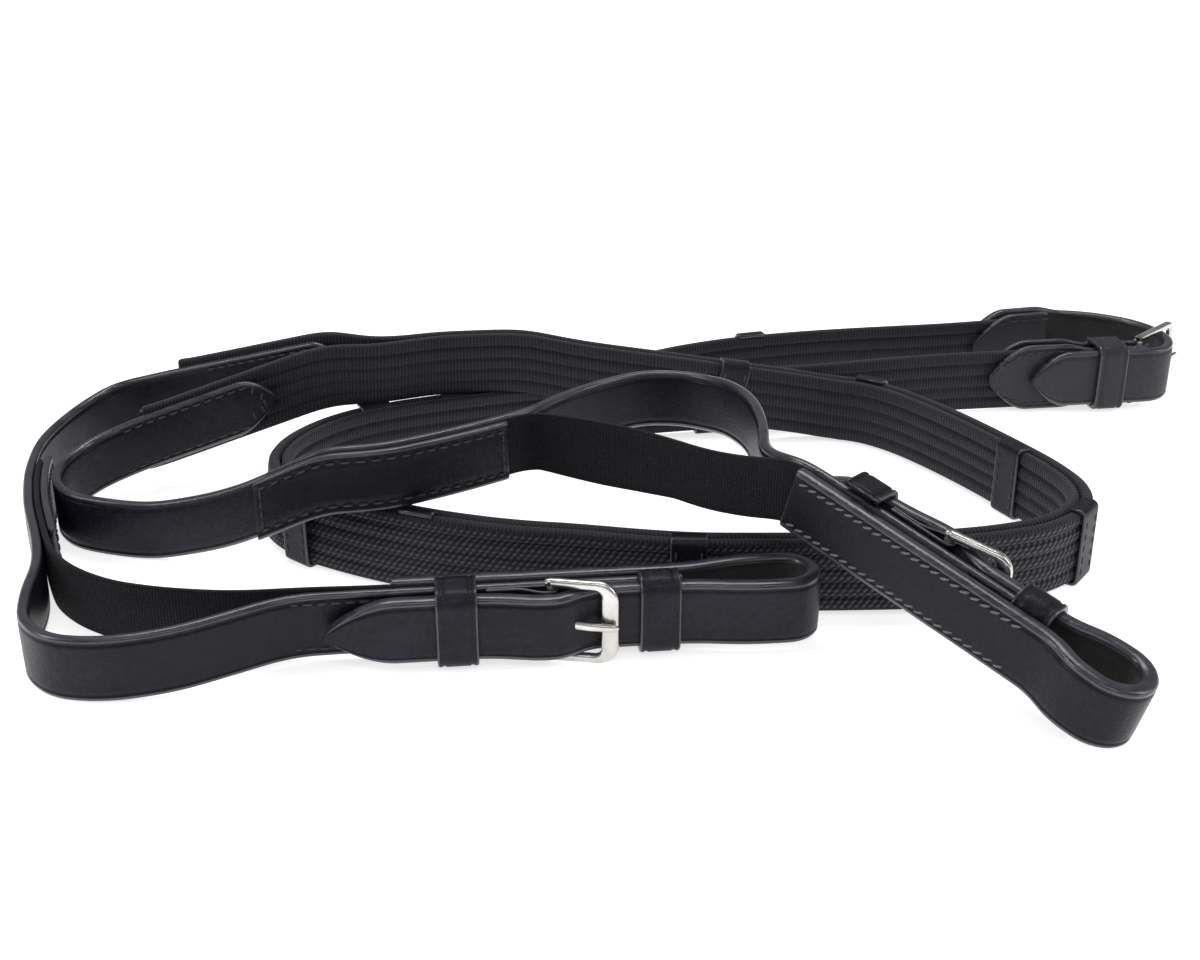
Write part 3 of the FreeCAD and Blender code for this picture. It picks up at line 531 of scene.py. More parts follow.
def elastic_cloth(name):
    """Woven elastic: fine ribs across the strap with a soft woolly face."""
    n = Nodes(name)
    along, around = n.along_around()
    rib = n.wave(along, 0.85)
    fuzz = n.noise(1100, 5, 0.75)
    woven = n.times(rib, n.wave(around, 0.62))
    height = n.add(n.times(woven, 0.45), n.mix(rib, 0.2, fuzz, 1.1))
    colour = n.ramp(fuzz, [(0.3, (0.0012, 0.0012, 0.0035)), (0.55, (0.0048, 0.0046, 0.0095)),
                           (0.75, (0.018, 0.018, 0.026))])
    return n.finish(colour, n.spread(fuzz, 0.75, 0.95), n.bump(height, 0.00035, 0.85),
                    Specular_IOR_Level=0.2, Sheen_Weight=0.08, Sheen_Roughness=0.45)


def thread(name, tone):
    """Waxed linen thread with its twist."""
    n = Nodes(name)
    along, around = n.along_around()
    twist = n.math("SINE", n.times(n.add(along, n.times(around, 0.5)), 9))
    fibre = n.noise(3000, 2)
    colour = n.ramp(fibre, [(0.3, (tone * 0.7, tone * 0.7, tone * 0.74)),
                            (0.7, (tone * 1.4, tone * 1.4, tone * 1.45))])
    return n.finish(colour, n.spread(fibre, 0.42, 0.6), n.bump(twist, 0.00012, 0.6),
                    Specular_IOR_Level=0.5)


def steel(name):
    """Polished stainless steel with hairline wear and a dulled patch here and there."""
    n = Nodes(name)
    hair = n.noise(420, 4, 0.6, (1, 1, 6))
    cloud = n.noise(130)
    colour = n.ramp(cloud, [(0.3, (0.46, 0.445, 0.43)), (0.7, (0.66, 0.645, 0.625))])
    roughness = n.add(n.spread(cloud, 0.13, 0.26), n.times(hair, 0.08))
    return n.finish(colour, roughness, n.bump(hair, 0.00001, 0.08), Metallic=1.0)


BRIDLE = leather("bridle_leather")
SUPPLE = leather("supple_leather", 1.05, 0.42, 1.3)
# A slightly darker, glossier copy of the bridle leather: painted shade on the billets and chapes.
SHADE = leather("shaded_leather", 0.95, 0.33)
# A lighter copy with a pale wash: painted light on the centre pieces, which stand brighter and hazier
# under the lamps.
PAINTED_BRIGHT = leather("painted_bright_leather", 1.2, 0.5, 1.3, 0.022)
FLESH = flesh("flesh_side")
EDGE = edge_paint("burnished_edge")
# The last colour of each web is a painted glint on the yarn tops, and its darkest is painted shade in
# the grooves.
CORD_FACE = web_cloth("web_cords", cord_yarn, 0.25, (0.031, 0.031, 0.043), 0.00025)
TWILL_FACE = web_cloth("web_twill", twill_yarn, 0.45, (0.070, 0.070, 0.083), 0.00035)
STRETCH = elastic_cloth("woven_elastic")
THREAD = thread("black_thread", 0.035)
PALE_THREAD = thread("waxed_thread", 0.15)
STEEL = steel("stainless_steel")

# A look is a slot's name and the materials of the left face, the right face and the edges.
FIRM_LOOK = ("bridle_leather", [BRIDLE, BRIDLE, EDGE])
SHADED_LOOK = ("bridle_leather", [SHADE, SHADE, EDGE])
SOFT_LOOK = ("soft_leather", [SUPPLE, SUPPLE, EDGE])
PAINTED_BRIGHT_LOOK = ("soft_leather", [PAINTED_BRIGHT, PAINTED_BRIGHT, EDGE])
WEB_LOOK = ("ribbed_web", [TWILL_FACE, CORD_FACE, CORD_FACE])
ELASTIC_LOOK = ("elastic", [STRETCH, STRETCH, STRETCH])


# ---- Mesh building ----
def new_object(name, data):
    thing = bpy.data.objects.new(name, data)
    bpy.context.scene.collection.objects.link(thing)
    return thing


def add_mesh(name, vertices, faces, uvs, slots, materials, body, nodes=()):
    """Make a smooth mesh piece that rides on a body and stands for CAD nodes."""
    mesh = bpy.data.meshes.new(name)
    mesh.from_pydata([to_world(v) for v in vertices], [], faces)
    for material in materials:
        mesh.materials.append(material)
    layer = mesh.uv_layers.new(name="UVMap")
    k = 0
    for polygon, face_uvs, slot in zip(mesh.polygons, uvs, slots):
        polygon.material_index = slot
        polygon.use_smooth = True
        for uv in face_uvs:
            layer.data[k].uv = uv
            k += 1
    mesh.update()
    piece = new_object(name, mesh)
    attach(piece, body)
    if nodes:
        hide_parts(*nodes)
    return piece


def heading_at(line, i, closed):
    before = line[i - 1] if i or closed else line[0]
    after = line[(i + 1) % len(line)] if i < len(line) - 1 or closed else line[-1]
    return (after - before).normalized()


def grid_faces(rings, per_ring, closed_along=False, base=0):
    """Return the quads of a tube of rings."""
    faces = []
    for i in range(rings if closed_along else rings - 1):
        a, b = base + i * per_ring, base + ((i + 1) % rings) * per_ring
        for j in range(per_ring):
            k = (j + 1) % per_ring
            faces.append((a + j, b + j, b + k, a + k))
    return faces


def grid_uvs(along, around):
    return [[(a, p), (b, p), (b, q), (a, q)] for a, b in zip(along, along[1:])
            for p, q in zip(around, around[1:])]


def grid_slots(profile, rings):
    """Give each quad its face's material, or the edge's where two faces meet."""
    pairs = zip(profile, profile[1:] + profile[:1])
    return [a[2] if a[2] == b[2] else 2 for a, b in pairs] * rings


def section(thick, height, shape=None, edge=None, face_points=9, creases=()):
    """Return a strap's cross-section as (side, up, face) points, anticlockwise from the low left.

    side runs from -thick/2 to +thick/2 and up from 0 to 1 of the height. face is 0 on the left
    face, 1 on the right face and 2 on the edges. shape gives how proud the faces are at a place
    up them, and each crease is an inset from both edges and a half-width.
    """
    half = thick / 2
    edge = min(0.85 * half, 1.1) if edge is None else edge
    inner = edge / height
    marks = {inner + (1 - 2 * inner) * k / (face_points - 1) for k in range(face_points)}
    for place, width in creases:
        for sign in (-1, -0.45, 0, 0.45, 1):
            for where in (place, height - place):
                marks.add((where + sign * width) / height)
    marks = sorted(m for m in marks if inner - 1e-6 <= m <= 1 - inner + 1e-6)

    def proud(up):
        value = shape(up) if shape else 0
        for place, width in creases:
            for where in (place, height - place):
                gap = abs(up * height - where) / width
                if gap < 1:
                    value -= 0.24 * (1 - gap * gap)
        return value
    left = [(half + proud(m), m, 0) for m in marks]
    right = [(-half - proud(m), m, 1) for m in reversed(marks)]
    top = []
    for turn in (22, 45, 68, 90, 112, 135, 158):
        c, s = math.cos(math.radians(turn)), math.sin(math.radians(turn))
        side = (half - edge) * (1 if turn < 90 else -1 if turn > 90 else 0) + edge * c
        top.append((side, 1 - inner + inner * s, 2))
    bottom = [(-side, 1 - up, face) for side, up, face in top]
    return left + top + right + bottom


def sweep(name, node, look, path, span, offset, thick, low, high, shape=None, creases=(),
          tips=(0, 0), step=1.2, place=None, edge=None, face_points=9, lean=None):
    """Sweep a strap's cross-section along part of a path.

    low and high give the heights of the two edges at a distance. tips are the lengths of rounded
    points at the ends, and lean is how far the top stands to the left of the bottom. place is a
    matrix for a strap drawn in a place of its own.
    """
    first, last = span
    count = max(8, int((last - first) / step))
    height = high((first + last) / 2) - low((first + last) / 2)
    profile = section(thick, height, shape, edge, face_points, creases)
    marks = {first + (last - first) * k / count for k in range(count + 1)}
    for k in range(1, 10):
        if tips[0]:
            marks.add(first + tips[0] * (k / 10) ** 2)
        if tips[1]:
            marks.add(last - tips[1] * (k / 10) ** 2)
    marks |= {first + 0.25, first + 0.6, last - 0.25, last - 0.6}
    marks = sorted(marks)
    around = [0.0]
    for (s0, u0, _), (s1, u1, _) in zip(profile, profile[1:] + profile[:1]):
        around.append(around[-1] + math.hypot(s1 - s0, (u1 - u0) * height))
    vertices = []
    for mark in marks:
        z0, z1 = low(mark), high(mark)
        middle, half = (z0 + z1) / 2, (z1 - z0) / 2
        squeeze = 1.0
        for tip, gone in ((tips[0], mark - first), (tips[1], last - mark)):
            if tip and gone < tip:
                near = max(gone / tip, 0)
                squeeze = min(squeeze, 0.07 + 0.93 * (1 - (1 - near) ** 1.9))
        # The cut ends are broken slightly, so that they catch the light.
        cut = max(0, 1 - min(mark - first, last - mark) / 0.7)
        slim = 1 - 0.30 * cut ** 2
        point, heading = path.at(mark)
        slope = lean(mark) if lean else 0
        for side, up, _ in profile:
            spot = point + left_of(heading) * (offset + side * slim + slope * up)
            rise = middle + (up * 2 - 1) * half * squeeze * (1 - 0.012 * cut)
            vertices.append(Vector((spot.x, spot.y, rise)))
    per = len(profile)
    faces = grid_faces(len(marks), per)
    uvs = grid_uvs(marks, around)
    slots = grid_slots(profile, len(marks) - 1)
    for ring, order in ((0, 1), (len(marks) - 1, -1)):
        faces.append(tuple([ring * per + j for j in range(per)][::order]))
        uvs.append([(p[0], a) for p, a in zip(profile, around)][::order])
        slots.append(2)
    if place:
        vertices = [place @ v for v in vertices]
    return add_mesh(name, vertices, faces, uvs, slots, look[1], "reins", [node])


def tube(points, radii, closed=False, sides=10, flat=None, spin=Vector((0, 0, 1))):
    """Return the vertices and faces of a tube. flat gives a second half-size, along spin."""
    vertices = []
    count = len(points)
    for i, point in enumerate(points):
        heading = heading_at(points, i, closed)
        across = spin.cross(heading)
        across = across.normalized() if across.length > 1e-6 else Vector((1, 0, 0))
        up = heading.cross(across).normalized()
        for k in range(sides):
            angle = 2 * math.pi * k / sides
            c, s = math.cos(angle), math.sin(angle)
            if flat:
                c = math.copysign(abs(c) ** 0.72, c)
                s = math.copysign(abs(s) ** 0.72, s)
            tall = flat[i] if flat else radii[i]
            vertices.append(point + across * (c * radii[i]) + up * (s * tall))
    faces = grid_faces(count, sides, closed)
    if not closed:
        faces += [tuple(range(sides))[::-1], tuple(range((count - 1) * sides, count * sides))]
    return vertices, faces


def steel_piece(name, tubes, body, node, place):
    """Join tubes into one steel piece."""
    vertices, faces = [], []
    for tube_vertices, tube_faces in tubes:
        base = len(vertices)
        vertices += [place @ v for v in tube_vertices]
        faces += [tuple(base + k for k in face) for face in tube_faces]
    uvs = [[(0.1 * i, 0.0) for i in range(len(face))] for face in faces]
    return add_mesh(name, vertices, faces, uvs, [0] * len(faces), [STEEL], body, [node])


def stitches(name, spots, material=THREAD, long=2.5, radius=0.33, place=None):
    """Sew a row: each spot is (point, along, outward) and gets one short bowed thread."""
    vertices, faces, uvs = [], [], []
    rings = ((-0.5, 0.15, -0.5), (-0.42, 0.75, -0.05), (-0.2, 1.0, 0.12), (0.2, 1.0, 0.12),
             (0.42, 0.75, -0.05), (0.5, 0.15, -0.5))
    sides = 6
    sink = 0.12
    for point, along, outward in spots:
        along, outward = along.normalized(), outward.normalized()
        across = along.cross(outward)
        faces += grid_faces(len(rings), sides, base=len(vertices))
        uvs += grid_uvs(range(len(rings)), range(sides + 1))
        for where, fat, rise in rings:
            for k in range(sides):
                angle = 2 * math.pi * k / sides
                vertices.append(point + along * (where * long)
                                + across * (math.cos(angle) * radius * fat)
                                + outward * ((rise - sink) * radius * 2
                                             + math.sin(angle) * radius * fat))
    if place:
        vertices = [place @ v for v in vertices]
    return add_mesh(name, vertices, faces, uvs, [0] * len(faces), [material], "reins")


def row_on(path, first, last, side, height, pitch=3.1, slant=0.0, outward=1):
    """Return stitch spots along a strap's face. side is the face's distance from the path."""
    spots = []
    count = max(1, int((last - first) / pitch))
    for k in range(count + 1):
        mark = first + (last - first) * k / count
        point, heading = path.at(mark)
        left = left_of(heading)
        spot = point + left * side
        rise = height(mark + 1) - height(mark - 1)
        along = Vector((heading.x * 2, heading.y * 2, rise)).normalized()
        spots.append((Vector((spot.x, spot.y, height(mark))),
                      (along + Vector((0, 0, slant))).normalized(),
                      Vector((left.x, left.y, 0)) * outward))
    return spots


def edge_rows(path, first, last, side, low, insets=(ROW_INSET, LEATHER - ROW_INSET), **options):
    """Return stitch spots in two rows, one inside each edge of the leather."""
    return [spot for inset in insets
            for spot in row_on(path, first, last, side, above(low, inset), **options)]


def rounded_line(spots, radius, closed):
    """Round the right-angled corners of a line, and divide it into short runs."""
    ring = []
    count = len(spots)
    for i, spot in enumerate(spots):
        corner = Vector(spot)
        if not closed and i in (0, count - 1):
            ring.append(corner)
            continue
        a = (Vector(spots[i - 1]) - corner).normalized()
        b = (Vector(spots[(i + 1) % count]) - corner).normalized()
        centre = corner + (a + b) * radius
        for k in range(6):
            t = math.radians(90 * k / 5)
            ring.append(centre - b * radius * math.cos(t) - a * radius * math.sin(t))
    fine = []
    for a, b in zip(ring, ring[1:] + ring[:1] if closed else ring[1:]):
        steps = max(1, int((b - a).length / 1.3))
        fine += [a.lerp(b, k / steps) for k in range(steps)]
    return fine if closed else fine + [ring[-1]]


def band(name, node, look, place, box, radius, thick, span, body="reins", closed=True, crease=True):
    """Build a leather band round a box (y0, y1, z0, z1), wide along X. An open one lacks its y0 side."""
    y0, y1, z0, z1 = box
    x0, x1 = span
    line = rounded_line([(y0, z0), (y1, z0), (y1, z1), (y0, z1)], radius, closed)
    profile = section(thick, x1 - x0, None, min(0.5, thick * 0.42), 7, ((1.5, 0.55),) if crease else ())
    area = sum(a.x * b.y - a.y * b.x for a, b in zip(line, line[1:] + line[:1]))
    vertices = []
    count = len(line)
    for i, spot in enumerate(line):
        outward = left_of(heading_at(line, i, closed)) * (-1 if area > 0 else 1)
        for side, up, _ in profile:
            p = spot + outward * side
            vertices.append(place @ Vector((x0 + up * (x1 - x0), p.x, p.y)))
    per = len(profile)
    rings = count if closed else count - 1
    faces = grid_faces(count, per, closed)
    uvs = grid_uvs(range(rings + 1), range(per + 1))
    slots = grid_slots(profile, rings)
    if not closed:
        faces += [tuple(range(per)), tuple(range((count - 1) * per, count * per))[::-1]]
        uvs += [[(0, 0)] * per] * 2
        slots += [2, 2]
    return add_mesh(name, vertices, faces, uvs, slots, look[1], body, [node])


# ---- Shapes of the faces ----
def crowned(up):
    return -0.10 * (2 * up - 1) ** 4


def ribbed(up):
    """Five rounded ribs with four narrow grooves, flatter near the selvedges."""
    across = abs(2 * ((up * 5) % 1.0) - 1)
    return -1.15 * across ** 4 - 0.12 * (2 * up - 1) ** 6


def soft_face(up):
    return -0.15 * (2 * up - 1) ** 2


CREASED = {"shape": crowned, "creases": ((1.7, 0.5),)}
CREASED_PATCH = {"shape": crowned, "creases": ((2.3, 0.55),)}


# ---- Hardware ----
def build_buckle(name, place, inner, reach, bar, far):
    """A stirrup buckle: a flat bar bent to a rectangle, and a round pivot bar.

    far is the width of the flat bar opposite the pivot.
    """
    z_mid = (inner + RAIL) / 2
    bend = 3.4
    rail_start = 0.3
    ends = [(-z_mid - 0.4, 0.9), (-z_mid + 0.6, 1), (z_mid - 0.6, 1), (z_mid + 0.4, 0.9)]
    pivot = tube([Vector((0, 0, z)) for z, _ in ends], [bar * fat for _, fat in ends], sides=16,
                 spin=Vector((1, 0, 0)))
    # Each spot is X, Z and the two half-sizes. The half runs from one end to the far bar.
    half = [(-bar * 0.9, -z_mid, RAIL * 0.36, RAIL * 0.40)]
    for k in range(6):
        half.append((rail_start + (reach - bend - rail_start) * k / 6, -z_mid, RAIL / 2, RAIL / 2))
    for k in range(9):
        t = math.radians(90 * k / 8)
        half.append((reach - bend + bend * math.sin(t), -z_mid + bend - bend * math.cos(t),
                     RAIL / 2 + (far - RAIL) / 2 * k / 8, RAIL / 2))
    spots = half + [(reach, (-z_mid + bend) * (1 - k / 4), far / 2, RAIL / 2) for k in range(1, 8)]
    spots += [(x, -z, wide, deep) for x, z, wide, deep in reversed(half)]
    loop = tube([Vector((x, 0, z)) for x, z, _, _ in spots], [spot[2] for spot in spots], sides=16,
                flat=[spot[3] for spot in spots], spin=Vector((0, 1, 0)))
    steel_piece(name, [pivot, loop], name, name + "_frame", place)


def build_prong(name, place, bar, reach, rise, side, wall):
    """A prong: a flattened eye round the bar and a tapering shank."""
    eye = bar + 0.05
    sides = 24
    ring = [Vector((math.cos(t) * (eye + wall / 2), math.sin(t) * (eye + wall / 2), 0))
            for t in (2 * math.pi * k / sides for k in range(sides))]
    eye_part = tube(ring, [wall / 2 * 0.98] * sides, closed=True, flat=[1.35] * sides)
    # Each knot is a place along, a place out, and the two half-sizes.
    knots = [(eye + wall * 0.2, 0.5, 0.75, 1.32), (reach * 0.2, rise * 0.34 + 0.2, 0.85, 1.25),
             (reach * 0.34, rise * 0.62, 0.88, 1.15), (reach * 0.5, rise * 0.87, 0.86, 1.08),
             (reach * 0.68, rise, 0.82, 1.0), (reach * 0.9, rise, 0.78, 0.95),
             (reach + 0.9, rise - 0.05, 0.68, 0.85), (reach + 2.0, rise - 0.25, 0.34, 0.4)]
    shank = tube([Vector((x, y * side, 0)) for x, y, _, _ in knots], [knot[2] for knot in knots],
                 sides=12, flat=[knot[3] for knot in knots])
    steel_piece(name + "_tongue", [eye_part, shank], name + "_prong", name + "_buckle_prong", place)


# ---- One rein ----
def build_web(name, rein):
    """The web, with its twill outside the coil and its cords inside, and its splice and stops."""
    web = web_path(rein)
    landing = web.near(UPPER_END + 3, 45)
    below = (WEB_WIDTH - LEATHER) / 2
    line = [(x, z - below) for x, z in rein["far_low"][:2]] + OVER_COIL
    raised = smooth_profile(web, lambda point: height_at(line, point.x))

    def bottom(s):
        return raised(s) if s < landing else WEB_BASE

    def lean(s):
        """Tip the top of the raised stretch outwards, which is to the right of its way."""
        return -LEAN * smooth((s - 40) / 25) * smooth((8 - web.at(s)[0].x) / 40)
    sweep(name + "_web_grip", name + "_web", WEB_LOOK, web, (1.0, web.length), 0, WEB, bottom,
          above(bottom, WEB_WIDTH), ribbed, step=1.6, face_points=31, lean=lean)
    back_low = above(bottom, below)
    sweep(name + "_splice_back", name + "_splice_backing", SOFT_LOOK, web, (0, 36),
          WEB / 2 + GAP + BACKING / 2, BACKING, back_low, above(back_low, LEATHER), **CREASED,
          tips=(0, 9))
    build_stops(name, rein, web, bottom, landing)
    return web


def build_stops(name, rein, web, bottom, landing):
    """Hand stops folded over both edges of the web, each with two rows of sewing."""
    first = web.near(*rein["first_stop"])
    side = rein["pair_side"]
    outer = (WEB / 2 + GAP + STOP_THICK / 2) * side
    inner = -(WEB / 2 + GAP) * side
    for count in range(STOP_COUNT):
        middle = first + STOP_SPACING * count
        node = "%s_hand_stop_%d" % (name, count + 1)
        point, heading = web.at(middle)
        rise = (bottom(middle + 4) - bottom(middle - 4)) / 8 if middle < landing else 0
        place = (Matrix.Translation((point.x, point.y, bottom(middle) - WEB_BASE))
                 @ Matrix.Rotation(math.atan2(heading.y, heading.x), 4, "Z")
                 @ Matrix.Rotation(-math.atan(rise), 4, "Y"))
        box = (inner, outer, STOP_THICK / 2, WEB_WIDTH + WEB_BASE + STOP_THICK / 2)
        band(node + "_fold", node, SOFT_LOOK, place, box, 1.3, STOP_THICK, (-STOP_HALF, STOP_HALF),
             closed=False, crease=False)
        spots = [(Vector((x, outer + 0.5 * side, 4.0 + 3.2 * k)), Vector((0, 0, 1)),
                  Vector((0, side, 0))) for x in (-3.1, 3.1) for k in range(5)]
        stitches(node + "_stitches", spots, long=2.3, radius=0.26, place=place)


def build_billet(name, rein, place):
    """The thick strap round the bit, its grain outside and its flesh inside the loop."""
    side = rein["buckle_side"]
    over_bar = HALF + GAP + 2 * CHAPE + 2 * BAR + GAP + BILLET / 2
    over_chape = BILLET_SIDE + 2 * CHAPE + 2 * GAP
    loop_end, radius, shoulder = rein["loop_end"], rein["loop_radius"], rein["loop_shoulder"]
    loop_start = 69
    points = [(0, -ROOT_SIDE), (loop_start, -ROOT_SIDE), (shoulder, LOOP_MIDDLE - radius),
              (loop_end, LOOP_MIDDLE - radius), (loop_end, LOOP_MIDDLE + radius),
              (shoulder, LOOP_MIDDLE + radius), (loop_start, BILLET_SIDE), (45, BILLET_SIDE),
              (PIVOT + 1.5, over_bar), (PIVOT - 3, over_bar), (22, over_chape),
              (rein["tip"], over_chape)]
    rounded = [(x, y, radius if x == loop_end else r)
               for x, y, r in corners([(x, y * side) for x, y in points])]
    billet = Path(rounded, 1.5)
    faces = [FLESH, SHADE, EDGE] if side > 0 else [SHADE, FLESH, EDGE]
    sweep(name + "_billet_strap", name + "_billet", ("bridle_leather", faces), billet,
          (0, billet.length), 0, BILLET, level(0.0), level(LEATHER), **CREASED, tips=(0, 16),
          place=place, edge=1.25)


def build_bit_buckle(name, rein, place):
    """The chape round the buckle bar, with a slot for the prong, and the buckle."""
    side = rein["buckle_side"]
    radius = BAR + CHAPE / 2
    base = HALF + GAP + CHAPE / 2
    closed = base + CHAPE + GAP
    start, closing = 21.5, 29.5
    shape = [(start, base, 0), (PIVOT + radius, base, radius),
             (PIVOT + radius, base + 2 * radius, radius), (PIVOT - 2, base + 2 * radius, 4),
             (closing, closed, 6), (start, closed, 0)]
    chape = Path([(x, y * side, r) for x, y, r in shape], 0.8)
    middle = LEATHER / 2
    for label, z0, z1 in (("low", 0, middle - SLOT_HALF), ("high", middle + SLOT_HALF, LEATHER)):
        sweep("%s_chape_%s" % (name, label), name + "_buckle_chape", SHADED_LOOK, chape,
              (0, chape.length), 0, CHAPE, level(z0), level(z1), place=place, face_points=4)
    bar_side = (HALF + GAP + CHAPE + BAR) * side
    pivot = place @ turned_about_z((PIVOT, bar_side, middle), TILT * side)
    build_buckle(name + "_buckle", pivot, inner=16.6, reach=13.7, bar=1.2, far=4.2)
    build_prong(name, pivot, bar=1.2, reach=14, rise=2.3, side=side, wall=0.6)


def build_keepers(name, rein, place):
    """The fixed keeper, its ends sewn in behind the strap, and the loose runner."""
    side = rein["buckle_side"]
    slack, play = 0.2, 0.4
    clear = slack + BAND_WALL / 2
    z_low, z_high = -play - BAND_WALL / 2, LEATHER + play + BAND_WALL / 2
    front = HALF + 2 * CHAPE + 3 * GAP + BILLET + clear
    band(name + "_keeper", name + "_fixed_keeper", SOFT_LOOK, place,
         (-HALF * side, front * side, z_low, z_high), 3.1, BAND_WALL, KEEPER, closed=False)
    front = BILLET_SIDE + BILLET / 2 + clear
    band(name + "_runner_loop", name + "_runner", SOFT_LOOK, place,
         (-(HALF + clear) * side, front * side, z_low, z_high), 3.0, BAND_WALL, RUNNER,
         body=name + "_loop")


def sew_rein(name, rein, place, bridge, low, patch):
    """Sewing: the tongue, the patch, the root of the billet and the outer rein's front."""
    side = rein["buckle_side"]
    away = -side
    rows = edge_rows(bridge, 9, 42, HALF, low, (LEATHER - 2.0, 2.0))
    start = 4
    heading = bridge.at(start)[1]
    for k in range(5):
        t = (k + 0.5) / 5
        spot = (*bridge.beside(3.2 + 5 * (2 * t - 1) ** 2, HALF), low(start) + 3.2 + t * (LEATHER - 6.4))
        rows.append((Vector(spot), Vector((0.35 if t > 0.5 else -0.35, 0, 1)),
                     Vector((-heading.y, heading.x, 0))))
    stitches(name + "_tongue_stitches", rows)

    face = away * (PATCH_SIDE + PATCH / 2)
    first, last = patch
    end_inset = 1.9
    rows = edge_rows(bridge, first + 2.5, last - 2.5, face, low, outward=away)
    for end in (first + end_inset, last - end_inset):
        heading = bridge.at(end)[1]
        left = Vector((-heading.y, heading.x, 0)) * away
        for k in range(4):
            spot = (*bridge.beside(end, face), low(end) + 4.0 + 2.7 * k)
            rows.append((Vector(spot), Vector((0, 0, 1)), left))
    stitches(name + "_patch_stitches", rows)

    flat = Path([(0, 0), (70, 0)], 0)
    rows = edge_rows(flat, 3, 61, away * (ROOT_SIDE + BILLET / 2), level(0), pitch=2.6, slant=0.45,
                     outward=away)
    stitches(name + "_root_stitches", rows, PALE_THREAD, place=place)
    if name == "outer":
        rows = edge_rows(flat, -28, 10, side * HALF, level(0), outward=side)
        stitches(name + "_front_stitches", rows, place=place)


def build_rein(name, rein):
    """Build a rein and return the path of its web."""
    away = -rein["buckle_side"]
    bridge = strap_path(rein, rein["bridge"], rein["bridge_join"])
    elastic = strap_path(rein, rein["elastic"], -9)
    place = (turned_about_z((*rein["bit"], rein["bit_height"]), rein["bit_angle"])
             @ Matrix.Rotation(math.radians(-rein["bit_rise"]), 4, "Y"))
    near_line = list(rein["near_low"])
    if rein["bit_rise"]:
        bit_rise = math.radians(rein["bit_rise"])
        slope_end = polar(rein["bit"], rein["bit_angle"], rein["loop_end"] * math.cos(bit_rise))
        bottom = rein["bit_height"] + rein["loop_end"] * math.sin(bit_rise)
        near_line += [(rein["bit"][0], rein["bit_height"]), (slope_end[0], bottom), (300, bottom)]

    def strap_low(point):
        far = point.y > rein["split"] and point.x < -60
        return height_at(rein["far_low"] if far else near_line, point.x)
    low = smooth_profile(bridge, strap_low)
    high = above(low, LEATHER)
    elastic_low = smooth_profile(elastic, strap_low)

    def sag(s):
        """How far the free part of the inner elastic hangs below the leather."""
        along = (elastic.at(s)[0].x + SAG_RUN) / SAG_RUN
        return SAG * math.sin(math.pi * along) if name == "inner" and 0 < along < 1 else 0

    sweep(name + "_strap", name + "_main_strap", FIRM_LOOK, bridge, (0, bridge.length), 0, STRAP,
          low, high, **CREASED, tips=(11, 0))
    patch = bridge.near(*rein["patch"][0]), bridge.near(*rein["patch"][1])
    sweep(name + "_elastic_insert", name + "_elastic", ELASTIC_LOOK, elastic,
          (patch[0] + 2, elastic.length - INNER_END + ELASTIC_END), away * ELASTIC_SIDE, ELASTIC,
          lambda s: elastic_low(s) + 0.1 - sag(s), above(elastic_low, LEATHER - 0.1), soft_face)
    sweep(name + "_elastic_patch", name + "_patch", SOFT_LOOK, bridge, patch, away * PATCH_SIDE,
          PATCH, low, high, **CREASED_PATCH)
    web = build_web(name, rein)
    build_billet(name, rein, place)
    build_bit_buckle(name, rein, place)
    build_keepers(name, rein, place)
    sew_rein(name, rein, place, bridge, low, patch)
    return web


# ---- The centre ----
def half_from(start):
    """Half-height along a centre piece: a rounded oval over the web, then the plain strap."""
    def half(s):
        gone = s - start
        if gone < OVAL_TIP:
            return OVAL_HALF * (0.14 + 0.86 * (1 - (1 - max(gone, 0) / OVAL_TIP) ** 1.8))
        return OVAL_HALF + (CENTRE_HALF - OVAL_HALF) * smooth((gone - OVAL_END) / OVAL_NECK)
    return half


def about_middle(half):
    """Return the low and high edges of a piece that stands evenly about the middle."""
    return lambda s: CENTRE_MIDDLE - half(s), lambda s: CENTRE_MIDDLE + half(s)


def oval_rows(path, first, last, side, half, outward):
    """Return stitch spots in two rows that follow the edges of a centre piece."""
    return [spot for sign in (-1, 1)
            for spot in row_on(path, first, last, side,
                               lambda s: CENTRE_MIDDLE + sign * (half(s) - 2.2), outward=outward)]


def build_centre_chape(turn):
    """The inner rein's end, folded round the buckle bar and sewn to both faces of the web."""
    side, layer, back = CENTRE_SIDE, CENTRE_LAYER, -50
    half = half_from(0)
    path = Path([(back, -side, 0), (side, -side, side), (side, side, side), (back, side, 0)], 0.5)
    total = path.length
    bend = total / 2
    edges = about_middle(lambda s: half(min(s, total - s)))
    # The two legs stop short of the fold, which has a slot for the prong.
    for label, span in (("near", (0, bend - 6.5)), ("far", (bend + 6.5, total))):
        sweep("centre_chape_" + label, "centre_chape", PAINTED_BRIGHT_LOOK, path, span, 0, layer, *edges,
              **CREASED, place=turn)
    for label, z0, z1 in (("low", -CENTRE_HALF, -SLOT_HALF), ("high", SLOT_HALF, CENTRE_HALF)):
        sweep("centre_fold_" + label, "centre_chape", PAINTED_BRIGHT_LOOK, path, (bend - 6.8, bend + 6.8), 0,
              layer, level(CENTRE_MIDDLE + z0), level(CENTRE_MIDDLE + z1), place=turn, face_points=5)
    rows = []
    line = Path([(back, 0), (0, 0)], 0)
    for leg in (-1, 1):
        face = leg * (side + layer / 2)
        rows += oval_rows(line, 9, 26, face, half, leg)
        for k in range(5):
            angle = math.radians(-62 + 31 * k)
            spot = Vector((back + 9.5 - 7.4 * math.cos(angle), face,
                           CENTRE_MIDDLE + 7.6 * math.sin(angle)))
            rows.append((spot, Vector((math.sin(angle), 0, math.cos(angle))), Vector((0, leg, 0))))
    stitches("centre_chape_stitches", rows, place=turn)


